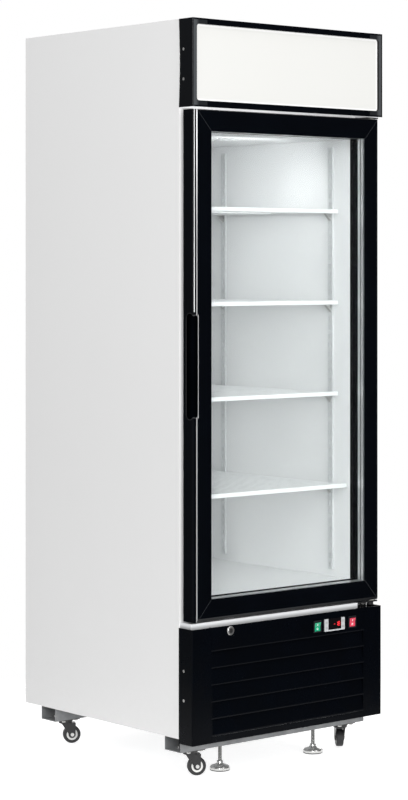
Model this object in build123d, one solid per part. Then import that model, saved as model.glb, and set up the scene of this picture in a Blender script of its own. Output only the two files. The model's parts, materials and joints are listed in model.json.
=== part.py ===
from build123d import *
import os
from math import floor, hypot

# Upright glass-door display freezer with a lit canopy, in millimetres.
# +X is to the right of a person who faces the door, +Y is to the back and +Z is up.
# The origin lies on the floor, under the middle of the outline.

os.makedirs("parts", exist_ok=True)

# Heights, stacked from the floor up
CASTOR_HEIGHT = 72.0
RAIL_HEIGHT = 39.0
KICK_DROP = 11.0
KICK_HEIGHT = 306.0
SILL_GAP = 18.0
DOOR_HEIGHT = 1354.0
CANOPY_GAP = 5.5
CANOPY_HEIGHT = 234.5

# Overall width with the insets of the pieces under the canopy, and depths from the canopy's front
WIDTH = 700.0
KICK_INSET = 1.5
CABINET_INSET = 3.0
DOOR_INSET = 9.0
DEPTH = 750.0
DOOR_SETBACK = 10.0
KICK_SETBACK = 5.0
GASKET_DEPTH = 9.7
GASKET_CLEARANCE = 0.3

# Walls of the insulated box
SHEET = 1.0
LINER = 1.5
SIDE_WALL = 57.0
BACK_WALL = 60.0
ROOF_WALL = 60.0
FACE_FLANGE = 26.0
BREAKER_DEPTH = 11.0
BREAKER_SHOW = 31.0
BREAKER_HEAD = 60.0
HEADER_FOAM = 50.0
DECK_DROP = 13.0
DECK_SHEET = 1.5

# Vent slots and cable gland in the back panel
VENT_LENGTH = 200.0
VENT_WIDTH = 8.0
VENT_ROWS = 7
VENT_PITCH = 30.0
VENT_COLUMN = 130.0
VENT_RISE = 60.0
GLAND_RADIUS = 11.0
GLAND_BORE = 5.0
GLAND_DEPTH = 8.0
GLAND_INSET = 62.0
GLAND_RISE = 30.0
PRESS_CLEARANCE = 0.05

# Sill between kick panel and door
SILL_SETBACK = 15.0
SILL_SIDE_INSET = 5.0
SILL_SHEET = 2.0
SILL_BELOW_DOOR = 4.0
SILL_BELOW_KICK_TOP = 2.0

# Base pan and rails
PAN_SHEET = 1.5
PAN_RIM = 28.0
RAIL_WIDTH = 66.0
RAIL_SHEET = 2.0
RAIL_END_INSET = 9.0
RAIL_INSET = 98.0

# Canopy
CAP_WALL = 3.0
CAP_RETURN = 50.0
CAP_BOW = 4.0
CAP_BACK_GAP = 2.3
CAP_EDGE_RADIUS = 2.5
FRAME_SIDE = 14.0
FRAME_TOP = 16.0
FRAME_BOTTOM = 17.0
FRAME_DEPTH = 8.0
CANOPY_PLATE = 2.0
WINDOW_RADIUS = 8.0
SIGN_THICKNESS = 4.0
SIGN_OVERLAP = 9.0
TRAY_SHEET = 1.8
TRAY_RAISE = 40.0
LAMP_RADIUS = 8.0
LAMP_STANDOFF = 24.0
HOLDER_WIDTH = 14.0
HOLDER_HEIGHT = 26.0
PIECE_GAP = 0.3

# Small screws that lie flush in the canopy caps and kick pillars
SCREW_HEAD_RADIUS = 4.0
SCREW_HEAD_HEIGHT = 1.4
SCREW_SHANK_RADIUS = 1.7
SCREW_LENGTH = 12.0
SCREW_CLEARANCE = 0.1
SCREW_SINK = 0.2
CAP_SCREW_SETBACK = 39.0
CAP_SCREW_DROPS = (81.0, 160.0)
KICK_SCREW_SETBACK = 35.0
KICK_SCREW_DROPS = (112.0, 190.0)

# Kick panel
PILLAR_WIDTH = 66.5
KICK_WALL = 3.0
PILLAR_EDGE_RADIUS = 2.5
PANEL_GAP = 0.5
CONTROL_BAND = 64.0
BOTTOM_BAND = 17.0
LOUVRE_COUNT = 5
LOUVRE_LEAN = 6.5
LOUVRE_WALL = 2.5
LOUVRE_LIP = 4.0
LOUVRE_LIFT = 1.0
PANEL_EDGE = 3.5
PANEL_RIB = 8.0
LEDGE = 10.0
LEDGE_DROP = 6.0

# Key lock in the kick panel, with a cam that rises into the door
LOCK_INSET = 67.0
LOCK_DROP = 14.0
LOCK_FLANGE_RADIUS = 11.8
LOCK_FLANGE = 3.0
LOCK_BODY_RADIUS = 9.5
LOCK_BODY = 25.0
PLUG_RADIUS = 6.5
PLUG_PROUD = 0.4
KEYWAY_WIDTH = 1.8
KEYWAY_HEIGHT = 8.0
KEYWAY_DEPTH = 5.0
RUNNING = 0.05
CAM_THICKNESS = 2.5
CAM_WIDTH = 10.0
CAM_BITE = 6.0
CAM_ROOM = 2.5

# Rocker switches
ROCKER_INSETS = {"green": 180.0, "red": 47.0}
CONTROL_DROP = 35.0
BEZEL_WIDTH = 28.0
BEZEL_HEIGHT = 32.0
BEZEL_PROUD = 2.0
BEZEL_BORDER = 3.0
SWITCH_WALL = 1.7
SWITCH_DEPTH = 22.0
ROCKER_SIDE_GAP = 0.3
ROCKER_END_GAP = 1.0
ROCKER_TILT = 7.0
ROCKER_PIVOT_DEPTH = 4.0
ROCKER_RISE = 6.5
ROCKER_DIP = 1.5
ROCKER_ROOT = 4.0
ROCKER_ROOT_INSET = 4.0
ROCKER_PIN_RADIUS = 1.5
ROCKER_PIN_LENGTH = 1.3
CUTOUT_CLEARANCE = 0.2

# Temperature controller
CONTROLLER_INSET = 116.0
CONTROLLER_WIDTH = 76.0
CONTROLLER_HEIGHT = 34.0
CONTROLLER_PROUD = 3.0
CONTROLLER_FLANGE = 2.5
CONTROLLER_DEPTH = 60.0
SCREEN_WIDTH = 49.0
SCREEN_BAR = 3.5
SCREEN_RECESS = 2.0
SCREEN_THICKNESS = 1.5
BUTTON_WIDTH = 8.0
BUTTON_HEIGHT = 6.0
BUTTON_OFFSET = 31.0
BUTTON_RISE = 7.5
BUTTON_PROUD = 0.8
BUTTON_POCKET = 4.0
BUTTON_TRAVEL_ROOM = 1.0
BUTTON_GAP = 0.1

# Door
HANDLE_STRIP = 14.0
STILE = 50.0
DOOR_RAIL = 56.0
FRONT_LIP = 4.0
BACK_LIP = 6.0
PANE = 4.0
PANE_COUNT = 3
PANE_GAP = 9.0
GLASS_BITE = 12.0
GLASS_CLEARANCE = 0.5
SPACER_WIDTH = 10.0
SPACER_SHOW = 1.0
DOOR_EDGE_RADIUS = 2.5
HANDLE_EDGE_RADIUS = 4.0
BOTTOM_CHAMFER_HEIGHT = 8.0
BOTTOM_CHAMFER_DEPTH = 3.0
TOP_CHAMFER = 2.0
SCOOP_WIDTH = 17.0
SCOOP_DEPTH = 28.0
SCOOP_LENGTH = 286.0
SCOOP_HEIGHT = 675.0
GASKET_WIDTH = 22.0
GASKET_INSET = 19.0

# Hinges
HINGE_INSET = 16.0
HINGE_SETBACK = 15.0
PIN_RADIUS = 5.0
PIN_REACH = 18.0
BUSH_RADIUS = 8.0
BUSH_FLANGE_RADIUS = 11.0
BUSH_END_ROOM = 2.0
THRUST_GAP = 0.3
LOWER_BUSH_FLANGE = 2.0
UPPER_BUSH_FLANGE = 1.2
LOWER_PLATE = 4.0
UPPER_PLATE = 3.0
LOWER_BRACKET_INSIDE = 59.0
LOWER_BRACKET_OUTSIDE = 16.0
UPPER_BRACKET_INSIDE = 24.0
UPPER_BRACKET_OUTSIDE = 20.0
BRACKET_NOSE = 12.0
BRACKET_FLANGE = 2.0
LOWER_FLANGE_HEIGHT = 38.0
UPPER_FLANGE_HEIGHT = 33.0
PIN_BOSS_RADIUS = 9.0
PIN_BOSS_HEIGHT = 8.0
HINGE_BOLT_RADIUS = 5.0
HINGE_BOLT_HEAD = 4.0
HINGE_BOLT_SPREAD = 24.0
HINGE_BOLT_EDGE = 14.0
PLATE_BOLT_RADIUS = 6.0
PLATE_BOLT_HEAD = 5.0
PLATE_BOLT_INSETS = (11.0, 31.0)

# Shelves, their pilasters and clips
SHELF_COUNT = 4
TOP_SPACE = 198.0
BASE_EXTRA = 10.0
SHELF_FRONT = 54.0
LOWEST_SHELF_FRONT = 19.0
SHELF_BACK_GAP = 15.0
SHELF_SIDE_GAP = 0.5
WIRE_RADIUS = 2.0
WIRE_PITCH = 24.0
ROD_RADIUS = 3.0
CROSS_ROD_RADIUS = 2.5
CROSS_ROD_INSET = 1.5
WELD = 0.7
LIP_THICKNESS = 5.0
LIP_DOWN = 11.0
LIP_UP = 1.0
LIP_RADIUS = 1.8
PILASTER_DEPTH = 6.0
PILASTER_WIDTH = 20.0
PILASTER_FRONT = 88.0
PILASTER_BACK = 75.0
PILASTER_END = 20.0
SLOT_WIDTH = 4.0
SLOT_HEIGHT = 14.0
SLOT_DEPTH = 3.0
SLOT_PITCH = 25.0
CLIP_REACH = 20.0
CLIP_HEIGHT = 22.0
CLIP_WIDTH = 10.0
CLIP_TOE = 3.0
CLIP_GAP = 0.2

# Evaporator behind the canopy
COVER_SHEET = 2.5
COVER_SIDE_GAP = 0.3
COVER_BACK_GAP = 25.0
EVAPORATOR_FAN_BACK = 243.0
EVAPORATOR_FAN_TIP = 85.0
GUARD_RINGS = ((34.0, 12), (62.0, 20))
GUARD_SLOT_LENGTH = 22.0
GUARD_SLOT_WIDTH = 7.0
RETURN_SLOT_COUNT = 12
RETURN_SLOT_LENGTH = 32.0
RETURN_SLOT_WIDTH = 9.0
RETURN_SLOT_BACK = 14.0
COIL_SIDE_GAP = 50.0
COIL_DEPTH = 175.0
COIL_BACK_GAP = 55.0
COIL_HEADROOM = 58.0
COIL_END_PLATE = 2.0
COIL_PLATE_PROUD = 6.0
TUBE_RADIUS = 5.0
TUBE_STUB = 14.0
TUBE_ROWS = 5

# Fans
FAN_HUB_RADIUS = 20.0
FAN_HUB_HEIGHT = 20.0
BLADE_COUNT = 5
BLADE_CHORD = 46.0
BLADE_THICKNESS = 1.6
BLADE_PITCH = 24.0
BLADE_ROOT = 6.0
FAN_SHAFT_RADIUS = 4.0
FAN_SHAFT = 44.0
FAN_STANDOFF = 15.0
FAN_BACK_ROOM = 14.0
BRIDGE_SHEET = 3.0
BRIDGE_WIDTH = 24.0
BRIDGE_CLEARANCE = 0.6
BRIDGE_TIP_ROOM = 12.0
MOTOR_RADIUS = 32.0
MOTOR_LENGTH = 46.0
MOTOR_END_ROOM = 2.0

# Machine space
CONDENSER_INSET = 97.0
CONDENSER_WIDTH = 360.0
CONDENSER_SETBACK = 15.0
CONDENSER_DEPTH = 50.0
CONDENSER_HEADROOM = 36.0
SHROUD_SHEET = 2.0
SHROUD_LIP = 22.0
SHROUD_LIP_WALL = 3.0
CONDENSER_FAN_TIP = 92.0
SHROUD_TIP_GAP = 8.0
COMPRESSOR_X = -60.0
COMPRESSOR_BACK = 235.0
COMPRESSOR_RADIUS = 85.0
COMPRESSOR_WALL_HEIGHT = 125.0
COMPRESSOR_DOME = 50.0
COMPRESSOR_PLATE = 3.0
COMPRESSOR_PLATE_WIDTH = 210.0
COMPRESSOR_PLATE_DEPTH = 150.0
GROMMET_RADIUS = 12.0
GROMMET_HEIGHT = 15.0
GROMMET_INSET = 16.0
TERMINAL_BOX = (60.0, 30.0, 70.0)
PIPE_RADIUS = 5.0
PIPE_BEND = 26.0
PIPE_STUB = 15.0
DISCHARGE_RISE = 95.0
DISCHARGE_RUN = 70.0
SUCTION_RISE = 75.0
SUCTION_RUN = 60.0

# Castors and levelling feet
CASTOR_INSET = 69.0
CASTOR_PLATE = 3.0
CASTOR_PLATE_X = 60.0
CASTOR_PLATE_Y = 58.0
RACE_RADIUS = 21.0
RACE_HEIGHT = 6.0
RACE_GAP = 0.3
KINGPIN_RADIUS = 5.0
KINGPIN_SHORT = 0.4
TURNTABLE_RADIUS = 19.0
TURNTABLE_HEIGHT = 4.7
FORK_SHEET = 2.0
FORK_BRIDGE = 3.0
FORK_FRONT = 12.0
FORK_REAR = 10.0
FORK_EYE = 9.0
TRAIL = 18.0
WHEEL_RADIUS = 25.0
WHEEL_WIDTH = 20.0
WHEEL_SIDE_GAP = 1.3
TYRE_FILLET = 4.0
HUB_RADIUS = 16.0
HUB_INSET = 1.0
AXLE_RADIUS = 3.0
AXLE_HEAD_RADIUS = 5.0
AXLE_HEAD = 2.0
CASTOR_BOLT_RADIUS = 3.0
CASTOR_BOLT_HEAD_RADIUS = 5.5
CASTOR_BOLT_HEAD = 4.0
CASTOR_BOLT_REACH = 9.0
CASTOR_BOLT_EDGE = 8.0
CASTOR_YAWS = {
    "front_left": -28.0,
    "front_right": 55.0,
    "rear_left": -28.0,
    "rear_right": -12.0,
}
FOOT_GAP = 106.0
FOOT_RADIUS = 28.0
FOOT_RIM = 9.0
FOOT_SHOULDER = 3.5
FOOT_DOME_RADIUS = 13.0
FOOT_DOME = 3.5
FOOT_COLLAR_RADIUS = 9.0
FOOT_COLLAR = 9.0
FOOT_STEM_RADIUS = 5.5
FOOT_TRAVEL = 15.0
FOOT_END_ROOM = 2.0
NUT_RADIUS = 10.0
NUT_HEIGHT = 9.0

# Levels worked out from the stack
CABINET_BOTTOM = CASTOR_HEIGHT + RAIL_HEIGHT
KICK_BOTTOM = CABINET_BOTTOM - KICK_DROP
KICK_TOP = KICK_BOTTOM + KICK_HEIGHT
DOOR_BOTTOM = KICK_TOP + SILL_GAP
DOOR_TOP = DOOR_BOTTOM + DOOR_HEIGHT
CANOPY_BOTTOM = DOOR_TOP + CANOPY_GAP
HEIGHT = CANOPY_BOTTOM + CANOPY_HEIGHT
DECK_TOP = DOOR_BOTTOM - DECK_DROP
ROOM_FLOOR = DOOR_BOTTOM + DOOR_RAIL
HEADER_BOTTOM = DOOR_TOP - DOOR_RAIL
CHAMBER_TOP = HEIGHT - ROOF_WALL
PAN_TOP = CABINET_BOTTOM + PAN_SHEET

# Planes worked out from the depths
GLASS_UNIT = PANE_COUNT * PANE + (PANE_COUNT - 1) * PANE_GAP
DOOR_THICKNESS = FRONT_LIP + GLASS_UNIT + BACK_LIP
FRONT_Y = -DEPTH / 2
BACK_Y = DEPTH / 2
DOOR_FRONT = FRONT_Y + DOOR_SETBACK
DOOR_BACK = DOOR_FRONT + DOOR_THICKNESS
FACE_Y = DOOR_BACK + GASKET_DEPTH + GASKET_CLEARANCE
KICK_FRONT = FRONT_Y + KICK_SETBACK
KICK_BACK = KICK_FRONT + KICK_WALL
ROOM_BACK = BACK_Y - BACK_WALL
SKIN_BACK = FACE_Y + SHEET
FOAM_FRONT = SKIN_BACK + BREAKER_DEPTH
HEADER_BACK = FOAM_FRONT + HEADER_FOAM

# Half widths
CANOPY_X = WIDTH / 2
KICK_X = CANOPY_X - KICK_INSET
CABINET_X = CANOPY_X - CABINET_INSET
DOOR_X = CANOPY_X - DOOR_INSET
ROOM_X = CABINET_X - SIDE_WALL
PANEL_X = KICK_X - PILLAR_WIDTH
RAIL_Y = DEPTH / 2 - RAIL_INSET
CASTOR_X = CABINET_X - CASTOR_INSET
FOOT_X = CASTOR_X - FOOT_GAP
GLAND_X = CABINET_X - GLAND_INSET
LOCK_X = LOCK_INSET - PANEL_X
CONTROLLER_X = PANEL_X - CONTROLLER_INSET
ROCKER_XS = {colour: PANEL_X - inset for colour, inset in ROCKER_INSETS.items()}
CONDENSER_LEFT = CONDENSER_INSET - CABINET_X
COIL_X = ROOM_X - COIL_SIDE_GAP


def block(x0, x1, y0, y1, z0, z1):
    """A box between two corners."""
    return Pos((x0 + x1) / 2, (y0 + y1) / 2, (z0 + z1) / 2) * Box(x1 - x0, y1 - y0, z1 - z0)


def along_x(x0, x1, y, z, radius):
    """A round bar along X."""
    return Pos((x0 + x1) / 2, y, z) * Rot(0, 90, 0) * Cylinder(radius, x1 - x0)


def along_y(x, y0, y1, z, radius):
    """A round bar along Y."""
    return Pos(x, (y0 + y1) / 2, z) * Rot(90, 0, 0) * Cylinder(radius, y1 - y0)


def along_z(x, y, z0, z1, radius):
    """A round bar along Z."""
    return Pos(x, y, (z0 + z1) / 2) * Cylinder(radius, z1 - z0)


def outline(*points):
    """A closed flat face with straight sides."""
    return make_face(Polyline(*points, close=True))


def solid_xz(sketch, y0, y1):
    """A sketch drawn in X and Z, made solid from depth y0 back to y1."""
    return extrude(Plane((0, y0, 0), x_dir=(1, 0, 0), z_dir=(0, -1, 0)) * sketch, amount=y0 - y1)


def solid_yz(sketch, x0, x1):
    """A sketch drawn in Y and Z, made solid from x0 across to x1."""
    return extrude(Plane((x0, 0, 0), x_dir=(0, 1, 0), z_dir=(1, 0, 0)) * sketch, amount=x1 - x0)


def solid_xy(sketch, z0, z1):
    """A sketch drawn in X and Y, made solid from z0 up to z1."""
    return extrude(Pos(0, 0, z0) * sketch, amount=z1 - z0)


def edges_at(part, along, y=None, z=None, x=None):
    """The straight edges along an axis whose middles lie at the given coordinates."""
    wanted = [("X", x), ("Y", y), ("Z", z)]
    found = part.edges().filter_by(along)
    for letter, value in wanted:
        if value is not None:
            found = [e for e in found if abs(getattr(e.center(), letter) - value) < 1e-3]
    return found


def mirrored(part):
    """The same piece on the other side of the middle plane."""
    return mirror(part, about=Plane.YZ)


def save(name, *pieces):
    """Writes the solids of one node."""
    solids = [solid for piece in pieces for solid in piece.solids()]
    export_step(Compound(solids), f"parts/{name}.step")


# Cabinet skins

def side_panel():
    """Right side panel: a sheet with a folded front flange."""
    skin = block(CABINET_X - SHEET, CABINET_X, FACE_Y, BACK_Y, CABINET_BOTTOM, HEIGHT)
    flange = block(CABINET_X - FACE_FLANGE, CABINET_X, FACE_Y, SKIN_BACK, CABINET_BOTTOM, HEIGHT - SHEET)
    return skin + flange


right_panel = side_panel()
save("side_panel_right", right_panel)
save("side_panel_left", mirrored(right_panel))

SKIN_X = CABINET_X - SHEET
HEADER_X = CABINET_X - FACE_FLANGE
top_sheet = block(-SKIN_X, SKIN_X, FACE_Y, BACK_Y - SHEET, HEIGHT - SHEET, HEIGHT)
header_skin = block(-HEADER_X, HEADER_X, FACE_Y, SKIN_BACK, HEADER_BOTTOM + BREAKER_SHOW, HEIGHT - SHEET)
save("top_panel", top_sheet + header_skin)


def back_panel():
    """Back sheet with two columns of vent slots over the machine space, and a hole for the gland."""
    sheet = block(-SKIN_X, SKIN_X, BACK_Y - SHEET, BACK_Y, CABINET_BOTTOM, HEIGHT)
    slots = []
    for column in (-VENT_COLUMN, VENT_COLUMN):
        for row in range(VENT_ROWS):
            level = CABINET_BOTTOM + VENT_RISE + row * VENT_PITCH
            slots.append(Pos(column, level) * SlotOverall(VENT_LENGTH, VENT_WIDTH))
    slots.append(Pos(GLAND_X, CABINET_BOTTOM + GLAND_RISE) * Circle(GLAND_RADIUS))
    return sheet - solid_xz(Sketch() + slots, BACK_Y - SHEET, BACK_Y)


def cable_gland():
    """Grommet that lines the hole where the mains lead leaves."""
    z = CABINET_BOTTOM + GLAND_RISE
    ring = along_y(GLAND_X, BACK_Y - GLAND_DEPTH, BACK_Y, z, GLAND_RADIUS - PRESS_CLEARANCE)
    return ring - along_y(GLAND_X, BACK_Y - GLAND_DEPTH, BACK_Y, z, GLAND_BORE)


save("back_panel", back_panel(), cable_gland())

# Insulated box

LINER_X = ROOM_X + LINER
FOAM_BACK = BACK_Y - SHEET
FOAM_TOP = HEIGHT - SHEET
foam_side = block(LINER_X, SKIN_X, FOAM_FRONT, FOAM_BACK, DECK_TOP, FOAM_TOP)
foam_roof = block(-LINER_X, LINER_X, FOAM_FRONT, FOAM_BACK, CHAMBER_TOP + LINER, FOAM_TOP)
foam_floor = block(-LINER_X, LINER_X, FOAM_FRONT, FOAM_BACK, DECK_TOP, ROOM_FLOOR - LINER)
foam_back = block(-LINER_X, LINER_X, ROOM_BACK + LINER, FOAM_BACK, ROOM_FLOOR - LINER, CHAMBER_TOP + LINER)
header_core = block(-ROOM_X, ROOM_X, FOAM_FRONT, HEADER_BACK, HEADER_BOTTOM + COVER_SHEET, CHAMBER_TOP)
header_front = block(-ROOM_X, ROOM_X, SKIN_BACK, FOAM_FRONT, HEADER_BOTTOM + BREAKER_HEAD, FOAM_TOP)
foam_header = header_core + header_front
save("insulation", foam_side, mirrored(foam_side), foam_roof, foam_floor, foam_back, foam_header)

liner_outside = block(
    -LINER_X, LINER_X, FOAM_FRONT, ROOM_BACK + LINER, ROOM_FLOOR - LINER, CHAMBER_TOP + LINER
)
liner_inside = block(-ROOM_X, ROOM_X, FOAM_FRONT, ROOM_BACK, ROOM_FLOOR, CHAMBER_TOP)
save("inner_liner", liner_outside - liner_inside)

breaker_side = block(ROOM_X, SKIN_X, SKIN_BACK, FOAM_FRONT, DECK_TOP, FOAM_TOP)
breaker_top = block(-ROOM_X, ROOM_X, SKIN_BACK, FOAM_FRONT, HEADER_BOTTOM, HEADER_BOTTOM + BREAKER_HEAD)
breaker_foot = block(-ROOM_X, ROOM_X, SKIN_BACK, FOAM_FRONT, DECK_TOP, ROOM_FLOOR)
save("breaker_strips", breaker_side, mirrored(breaker_side), breaker_top, breaker_foot)

# Hinge places, shared by sill, brackets, door and bushes

HINGE_X = DOOR_X - HINGE_INSET
HINGE_Y = DOOR_FRONT + HINGE_SETBACK
LOWER_X0 = HINGE_X - LOWER_BRACKET_INSIDE
LOWER_X1 = HINGE_X + LOWER_BRACKET_OUTSIDE
UPPER_X0 = HINGE_X - UPPER_BRACKET_INSIDE
UPPER_X1 = HINGE_X + UPPER_BRACKET_OUTSIDE
LOWER_PLATE_TOP = DOOR_BOTTOM - LOWER_BUSH_FLANGE - THRUST_GAP
UPPER_PLATE_BOTTOM = DOOR_TOP + UPPER_BUSH_FLANGE + THRUST_GAP

# Lock places, shared by kick panel, sill, door and lock

LOCK_Z = KICK_TOP - LOCK_DROP
CAM_REACH = DOOR_BOTTOM - LOCK_Z + CAM_BITE
CAM_FRONT = KICK_FRONT + LOCK_BODY + PIECE_GAP
CAM_SLOT_X0 = LOCK_X - CAM_WIDTH / 2 - CAM_ROOM
CAM_SLOT_X1 = LOCK_X + CAM_REACH + CAM_ROOM
CAM_SLOT_Y0 = CAM_FRONT - CAM_ROOM
CAM_SLOT_Y1 = CAM_FRONT + CAM_THICKNESS + CAM_ROOM


def sill_deck():
    """Deck sheet under the foam, folded up at the cabinet's face and out into a hollow sill."""
    deck = block(-SKIN_X, SKIN_X, SKIN_BACK, FOAM_BACK, DECK_TOP - DECK_SHEET, DECK_TOP)
    sill_x = CABINET_X - SILL_SIDE_INSET + SILL_SHEET
    sill_front = FRONT_Y + SILL_SETBACK
    sill_bottom = KICK_TOP - SILL_BELOW_KICK_TOP
    sill_top = DOOR_BOTTOM - SILL_BELOW_DOOR
    sill_end = LOWER_X0 - PANEL_GAP
    sill = block(-sill_x, sill_end, sill_front, FACE_Y, sill_bottom, sill_top)
    hollow = block(
        -sill_x + SILL_SHEET,
        sill_end - SILL_SHEET,
        sill_front + SILL_SHEET,
        FACE_Y,
        sill_bottom,
        sill_top - SILL_SHEET,
    )
    cam_slot = block(CAM_SLOT_X0, CAM_SLOT_X1, CAM_SLOT_Y0, CAM_SLOT_Y1, sill_bottom, sill_top)
    upstand = block(-HEADER_X, HEADER_X, FACE_Y, SKIN_BACK, sill_bottom, ROOM_FLOOR - BREAKER_SHOW)
    return deck + (sill - hollow - cam_slot) + upstand


save("sill_deck", sill_deck())

pan_floor = block(-SKIN_X, SKIN_X, SKIN_BACK, FOAM_BACK, CABINET_BOTTOM, PAN_TOP)
pan_front = block(-SKIN_X, SKIN_X, SKIN_BACK, SKIN_BACK + PAN_SHEET, CABINET_BOTTOM, PAN_TOP + PAN_RIM)
pan_rear = block(-SKIN_X, SKIN_X, FOAM_BACK - PAN_SHEET, FOAM_BACK, CABINET_BOTTOM, PAN_TOP + PAN_RIM)
gland_gap = along_y(GLAND_X, FOAM_BACK - GLAND_DEPTH, FOAM_BACK, CABINET_BOTTOM + GLAND_RISE, GLAND_RADIUS)
save("base_pan", pan_floor + pan_front + pan_rear - gland_gap)

# Castor and foot places

CASTOR_SPOTS = {
    "front_left": (-CASTOR_X, -RAIL_Y),
    "front_right": (CASTOR_X, -RAIL_Y),
    "rear_left": (-CASTOR_X, RAIL_Y),
    "rear_right": (CASTOR_X, RAIL_Y),
}
FOOT_SPOTS = {"left": (-FOOT_X, -RAIL_Y), "right": (FOOT_X, -RAIL_Y)}
BOLT_X = CASTOR_PLATE_X / 2 - CASTOR_BOLT_EDGE
BOLT_Y = CASTOR_PLATE_Y / 2 - CASTOR_BOLT_EDGE
BOLT_SPOTS = [
    (cx + bx, cy + by)
    for cx, cy in CASTOR_SPOTS.values()
    for bx in (-BOLT_X, BOLT_X)
    for by in (-BOLT_Y, BOLT_Y)
]


def base_rail(y):
    """Channel under the pan, open upwards, with holes for the castor bolts and the foot stems."""
    x = CABINET_X - RAIL_END_INSET
    half = RAIL_WIDTH / 2
    web_top = CASTOR_HEIGHT + RAIL_SHEET
    channel = block(-x, x, y - half, y + half, CASTOR_HEIGHT, CABINET_BOTTOM)
    channel -= block(-x, x, y - half + RAIL_SHEET, y + half - RAIL_SHEET, web_top, CABINET_BOTTOM)
    holes = [
        along_z(bx, by, CASTOR_HEIGHT, web_top, CASTOR_BOLT_RADIUS + SCREW_CLEARANCE)
        for bx, by in BOLT_SPOTS
        if abs(by - y) < half
    ]
    holes += [
        along_z(fx, fy, CASTOR_HEIGHT, web_top, FOOT_STEM_RADIUS + RUNNING)
        for fx, fy in FOOT_SPOTS.values()
        if abs(fy - y) < half
    ]
    return channel - holes


save("base_rails", base_rail(-RAIL_Y), base_rail(RAIL_Y))

# Canopy

WINDOW_X = CANOPY_X - FRAME_SIDE
WINDOW_BOTTOM = CANOPY_BOTTOM + FRAME_BOTTOM
WINDOW_TOP = HEIGHT - FRAME_TOP
WINDOW_MID = (WINDOW_BOTTOM + WINDOW_TOP) / 2
CANOPY_BACK = FACE_Y - CAP_BACK_GAP
CAP_X = CANOPY_X - CAP_RETURN
SIGN_FRONT = FRONT_Y + FRAME_DEPTH


def canopy_window():
    """The rounded opening that the sign panel shows through."""
    sketch = RectangleRounded(2 * WINDOW_X, WINDOW_TOP - WINDOW_BOTTOM, WINDOW_RADIUS)
    return solid_xz(Pos(0, WINDOW_MID) * sketch, FRONT_Y, SIGN_FRONT)


def screw_hole(x, y, z):
    """Countersunk hole from the right-hand outside face at x."""
    head = along_x(x - SCREW_HEAD_HEIGHT - SCREW_SINK, x, y, z, SCREW_HEAD_RADIUS + SCREW_CLEARANCE)
    shank = along_x(x - SCREW_LENGTH, x, y, z, SCREW_SHANK_RADIUS + SCREW_CLEARANCE)
    return head + shank


def flush_screw(x, y, z):
    """Screw with a disc head that lies just below the right-hand outside face at x."""
    face = x - SCREW_SINK
    head = along_x(face - SCREW_HEAD_HEIGHT, face, y, z, SCREW_HEAD_RADIUS)
    return head + along_x(face - SCREW_LENGTH, face, y, z, SCREW_SHANK_RADIUS)


CAP_SCREWS = [(CANOPY_X, FRONT_Y + CAP_SCREW_SETBACK, HEIGHT - drop) for drop in CAP_SCREW_DROPS]
KICK_SCREWS = [(KICK_X, KICK_FRONT + KICK_SCREW_SETBACK, KICK_TOP - drop) for drop in KICK_SCREW_DROPS]


def canopy_cap():
    """Right end cap: side wall with a bowed rear edge, front corner of the frame, lid and floor ends."""
    middle = (CANOPY_BOTTOM + HEIGHT) / 2
    rear = ThreePointArc(
        (CANOPY_BACK, CANOPY_BOTTOM), (CANOPY_BACK - CAP_BOW, middle), (CANOPY_BACK, HEIGHT)
    )
    rim = Polyline(
        (CANOPY_BACK, HEIGHT), (FRONT_Y, HEIGHT), (FRONT_Y, CANOPY_BOTTOM), (CANOPY_BACK, CANOPY_BOTTOM)
    )
    wall = solid_yz(make_face(rear + rim), CANOPY_X - CAP_WALL, CANOPY_X)
    front = block(CAP_X, CANOPY_X, FRONT_Y, SIGN_FRONT, CANOPY_BOTTOM, HEIGHT) - canopy_window()
    lid = block(CAP_X, CANOPY_X, FRONT_Y, CANOPY_BACK, HEIGHT - CANOPY_PLATE, HEIGHT)
    base = block(CAP_X, CANOPY_X, FRONT_Y, CANOPY_BACK, CANOPY_BOTTOM, CANOPY_BOTTOM + CANOPY_PLATE)
    cap = wall + front + lid + base
    cap = fillet(edges_at(cap, Axis.Z, x=CANOPY_X, y=FRONT_Y), CAP_EDGE_RADIUS)
    return cap - [screw_hole(*spot) for spot in CAP_SCREWS]


right_cap = canopy_cap()
save("canopy_end_caps", right_cap, mirrored(right_cap))


def canopy_rail(outside, window_edge, plate_edge):
    """Rail between the caps: front bar and a plate back to the cabinet."""
    x = CAP_X - PIECE_GAP
    bar = block(-x, x, FRONT_Y, SIGN_FRONT, min(outside, window_edge), max(outside, window_edge))
    plate = block(-x, x, FRONT_Y, FACE_Y, min(outside, plate_edge), max(outside, plate_edge))
    rail = bar + plate
    return fillet(edges_at(rail, Axis.X, y=FRONT_Y, z=outside), CAP_EDGE_RADIUS / 2)


save(
    "canopy_rails",
    canopy_rail(HEIGHT, WINDOW_TOP, HEIGHT - CANOPY_PLATE),
    canopy_rail(CANOPY_BOTTOM, WINDOW_BOTTOM, CANOPY_BOTTOM + CANOPY_PLATE),
)

SIGN_X = WINDOW_X + SIGN_OVERLAP
SIGN_BOTTOM = WINDOW_BOTTOM - SIGN_OVERLAP
SIGN_TOP = WINDOW_TOP + SIGN_OVERLAP
save(
    "sign_panel",
    block(-SIGN_X, SIGN_X, SIGN_FRONT, SIGN_FRONT + SIGN_THICKNESS, SIGN_BOTTOM, SIGN_TOP),
)

TRAY_FRONT = FACE_Y - TRAY_SHEET
save("canopy_tray", block(-SIGN_X, SIGN_X, TRAY_FRONT, FACE_Y, CANOPY_BOTTOM + TRAY_RAISE, SIGN_TOP))


def lamp_holder(x0, x1):
    """Block on the tray with a socket for the tube's end."""
    return block(
        x0, x1, TRAY_FRONT - LAMP_STANDOFF - LAMP_RADIUS, TRAY_FRONT,
        WINDOW_MID - HOLDER_HEIGHT / 2, WINDOW_MID + HOLDER_HEIGHT / 2,
    )


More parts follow.
